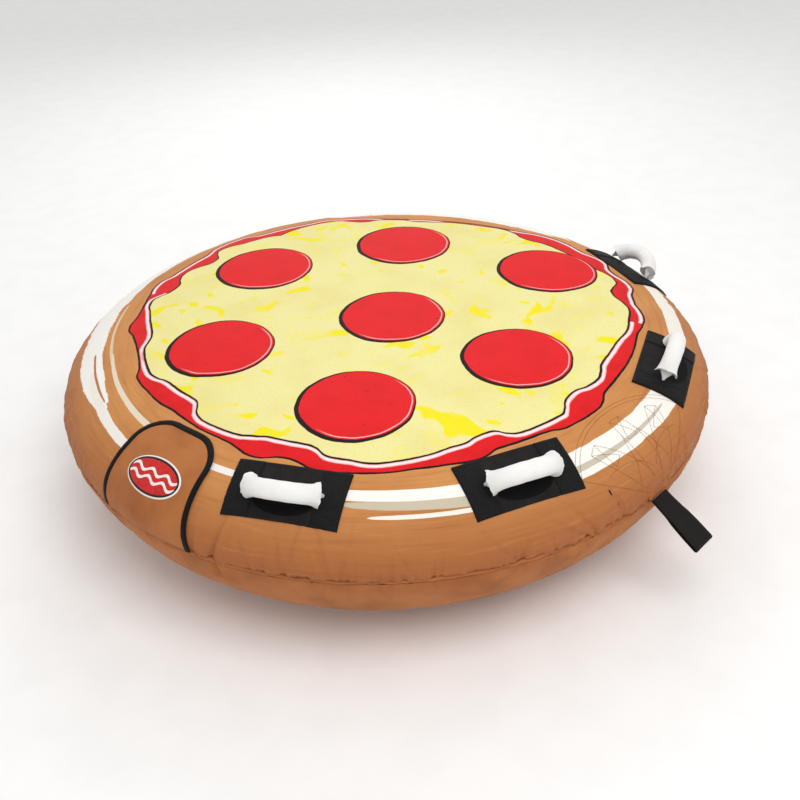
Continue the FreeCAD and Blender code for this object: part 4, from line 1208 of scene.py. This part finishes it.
def make_lip():
    x, y = flat_grid(-0.029, 0.029, -0.0215, -0.0045, 41, 15)
    x = x * (1 - 0.10 * (y + 0.0045) / -0.017)
    free = smooth_step(y, -0.018, -0.0045)
    folds = wander_over(x * 90, y * 40, 0, 42)
    low = 0.0004 + free * (0.0030 + 0.0014 * folds)
    lip = sewn_slab("tow_root_lip", TOW_PLACE, x, y, low, low + CLOTH, TOW_START, "tube", TAN_CLOTH)
    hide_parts("tow_loop_hood")
    rows = laid_row(TOW_PLACE, [(-0.024, -0.019), (0.024, -0.019)], 0.0020, TOW_START, 0.0036)
    repeat_on_row("tow_lip_stitches", FINE_STITCH, rows, "tube", THREAD_TAN, seed=43)


make_lip()

# %% Stitched fan
def fan_row(distances, leans, pitch=0.0046):
    """Stitch places along a line given by distances from the tow root and leans from straight up."""
    count = 40
    share = np.linspace(0, 1, count)
    distances, leans = (np.interp(share, np.linspace(0, 1, len(v)), v) for v in (distances, leans))
    s = SEAM_S - 0.004 - distances * np.cos(np.radians(leans))
    azimuth = TOW_AT - np.degrees(distances * np.sin(np.radians(leans)) / radius_at(s))
    lift = pucker(azimuth, s) + 0.0002
    low = on_skin(s, azimuth, lift)
    return row_along(low, on_skin(s, azimuth, lift + 0.01) - low, pitch)


def make_fan():
    rows = []
    for distance in (0.172, 0.179):
        rows += fan_row((distance, distance), (-58, 58))
    for lean in (-34.0, 0.0, 34.0):
        near, far = (math.degrees(math.asin(0.0125 / d)) for d in (0.040, 0.155))
        middle = math.degrees(math.asin(0.0125 / 0.112))
        for side in (-1, 1):
            rows += fan_row((0.040, 0.155), (lean + side * near, lean + side * far))
            rows += fan_row((0.112, 0.155), (lean - side * middle, lean + side * far))
        rows += fan_row((0.155, 0.155), (lean - far, lean + far))
        rows += fan_row((0.112, 0.112), (lean - middle, lean + middle))
    for side in (-1, 1):
        rows += fan_row((0.060, 0.080, 0.125), (side * 46, side * 24, side * 8))
        rows += fan_row((0.125, 0.085, 0.052), (side * 52, side * 24, side * 4))
        rows += fan_row((0.030, 0.172), (side * 60, side * 58))
    fan = repeat_on_row("tow_fan_stitches", FAN_STITCH, rows, "tube", THREAD_BROWN, seed=44)


make_fan()

# %% [markdown]
# ## Thread on the seam and the zip

# %% Seam thread
def make_seam_thread():
    azimuth = np.linspace(TOW_AT + 3.0, TOW_AT + 357.0, 2400)
    ring = np.stack([np.cos(np.radians(azimuth)), np.sin(np.radians(azimuth)), 0 * azimuth], -1)
    rise = 0.0016 * wander(ring * 30, 1.0, 8) + 0.0009 * wander(ring * 90, 1.0, 9)
    proud = 0.0007 * wander(ring * 60, 1.0, 10)
    path = ring * (SEAM_R + proud + 0.0033)[:, None]
    path[:, 2] = SEAM_Z + rise + 0.0004
    thread = repeat_on_row("seam_thread", STITCH, row_along(path, ring, 0.0044), "tube", THREAD_TAN, 0.15, 51)


make_seam_thread()

# %% Zip teeth
def make_zip_teeth():
    tooth = bmesh.new()
    bmesh.ops.create_cube(tooth, size=1.0)
    bmesh.ops.scale(tooth, vec=(0.0014, 0.0030, 0.0020), verts=tooth.verts)
    bmesh.ops.bevel(tooth, geom=tooth.edges[:], offset=0.0003, segments=1, affect="EDGES")
    mesh = bpy.data.meshes.new("zip_tooth_shape")
    tooth.to_mesh(mesh)
    tooth.free()
    shape = bpy.data.objects.new("zip_tooth_shape", mesh)
    bpy.context.scene.collection.objects.link(shape)
    zip_s = np.interp(-ZIP_R, -LINE[3000:, 0], RUN[3000:])
    count = round(math.radians(2 * ZIP_HALF - 2) * ZIP_R / 0.0024)
    row = []
    for k in range(count):
        azimuth = ZIP_AT - ZIP_HALF + 1 + (2 * ZIP_HALF - 2) * (k + 0.5) / count
        side = 1 if k % 2 else -1
        place = np.array(skin_frame(zip_s + side * 0.0011, azimuth))
        row.append((place[:3, 3] + place[:3, 2] * 0.0036, place[:3, 0], place[:3, 2]))
    teeth = repeat_on_row("zip_teeth_chain", shape, row, "tube", ZIP_PLASTIC, 0.02, 52)
    bpy.data.objects.remove(shape)
    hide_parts("zip_teeth")


ZIP_PLASTIC = moulded_finish("black_zip_plastic", "161617", "262627", 0.35)
make_zip_teeth()
for shape in (STITCH, FINE_STITCH, FAN_STITCH):
    bpy.data.objects.remove(shape)

# %% [markdown]
# ## Finishes on the pieces kept from the frame

# %% Kept pieces
PVC = moulded_finish("blue_grey_pvc_bladder", "5B6B78", "4A5964", 0.35)
BLACK_PLASTIC = moulded_finish("black_moulded_plastic", "17181A", "232427", 0.4)
CAP_PLASTIC = moulded_finish("grey_cap_plastic", "3B3D40", "2C2E30", 0.42)
SOFT_RUBBER = moulded_finish("soft_black_rubber", "1E1D1D", "2B2A2A", 0.7)
FOAM = moulded_finish("dark_closed_cell_foam", "2A2A2B", "3A3A3A", 0.9)
BRASS = metal_finish("aged_brass", "B89148", "8A6A32", 0.38)
ZIP_METAL = metal_finish("grey_zip_metal", "6E6F70", "4B4C4E", 0.4)
HOOK_TAPE = cloth_finish("black_hook_and_loop", "141414", "232323", pitch_mm=1.6, roughness=0.9)
INNER_CLOTH = cloth_finish("black_reinforcing_cloth", "1A1A1A", "262626")

KEPT = {"air_bladder": PVC, "drain_grommets": BRASS, "flap_hook_tape": HOOK_TAPE, "flap_loop_tape": HOOK_TAPE,
        "valve_base": PVC, "valve_body": BLACK_PLASTIC, "valve_cap": CAP_PLASTIC, "valve_cap_tether": SOFT_RUBBER,
        "valve_diaphragm": SOFT_RUBBER, "tow_fan_patch": INNER_CLOTH, "tow_loop_root": INNER_CLOTH,
        "tow_web_left": INNER_CLOTH, "tow_web_centre": INNER_CLOTH, "tow_web_right": INNER_CLOTH,
        "zip_pull": ZIP_METAL, "zip_slider": ZIP_METAL, "zip_stops": ZIP_METAL, "zip_tapes": HOOK_TAPE}
for number in range(1, 5):
    KEPT[f"handle_{number}_foam_core"] = FOAM
for name, finish in KEPT.items():
    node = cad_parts[name]
    node.data.materials.clear()
    node.data.materials.append(finish)
print("kept pieces", len(KEPT))

# %% [markdown]
# ## Studio

# %% Floor, light and camera
FLOOR = cloth_finish("pale_studio_paper", "FBFBFA", "F8F8F7", pitch_mm=2.0, roughness=0.9, sheen=0.0, depth_mm=0.02)
bpy.ops.mesh.primitive_plane_add(size=30, location=(0, 0, -0.0005))
floor = bpy.context.object
floor.name = "studio_floor"
floor.data.materials.append(FLOOR)

world = bpy.data.worlds.new("studio")
bpy.context.scene.world = world
world.use_nodes = True
world.node_tree.nodes["Background"].inputs["Color"].default_value = (1.0, 1.0, 1.0, 1.0)
world.node_tree.nodes["Background"].inputs["Strength"].default_value = 0.72


def soft_light(name, place, aim, size, power):
    data = bpy.data.lights.new(name, "AREA")
    data.shape = "DISK"
    data.size = size
    data.energy = power
    lamp = bpy.data.objects.new(name, data)
    lamp.location = place
    lamp.rotation_euler = (Vector(aim) - Vector(place)).to_track_quat("-Z", "Y").to_euler()
    bpy.context.scene.collection.objects.link(lamp)


soft_light("key", (-0.6, -1.6, 2.9), (0, 0, 0.2), 2.2, 40)
soft_light("back", (1.8, 2.0, 2.2), (0, 0, 0.3), 2.0, 20)

eye = bpy.data.cameras.new("camera")
eye.lens = 43.107
eye.sensor_width = 36
camera = bpy.data.objects.new("camera", eye)
right, up = Vector((0.68957, -0.72354, -0.03138)), Vector((0.41885, 0.36309, 0.83230))
ahead = Vector((0.59082, 0.58708, -0.55343))
turn = Matrix((right, up, -ahead)).transposed().to_4x4()
camera.matrix_world = Matrix.Translation((-1.1817, -1.2109, 1.2346)) @ turn
bpy.context.scene.collection.objects.link(camera)
bpy.context.scene.camera = camera
bpy.context.scene.view_settings.view_transform = "Standard"
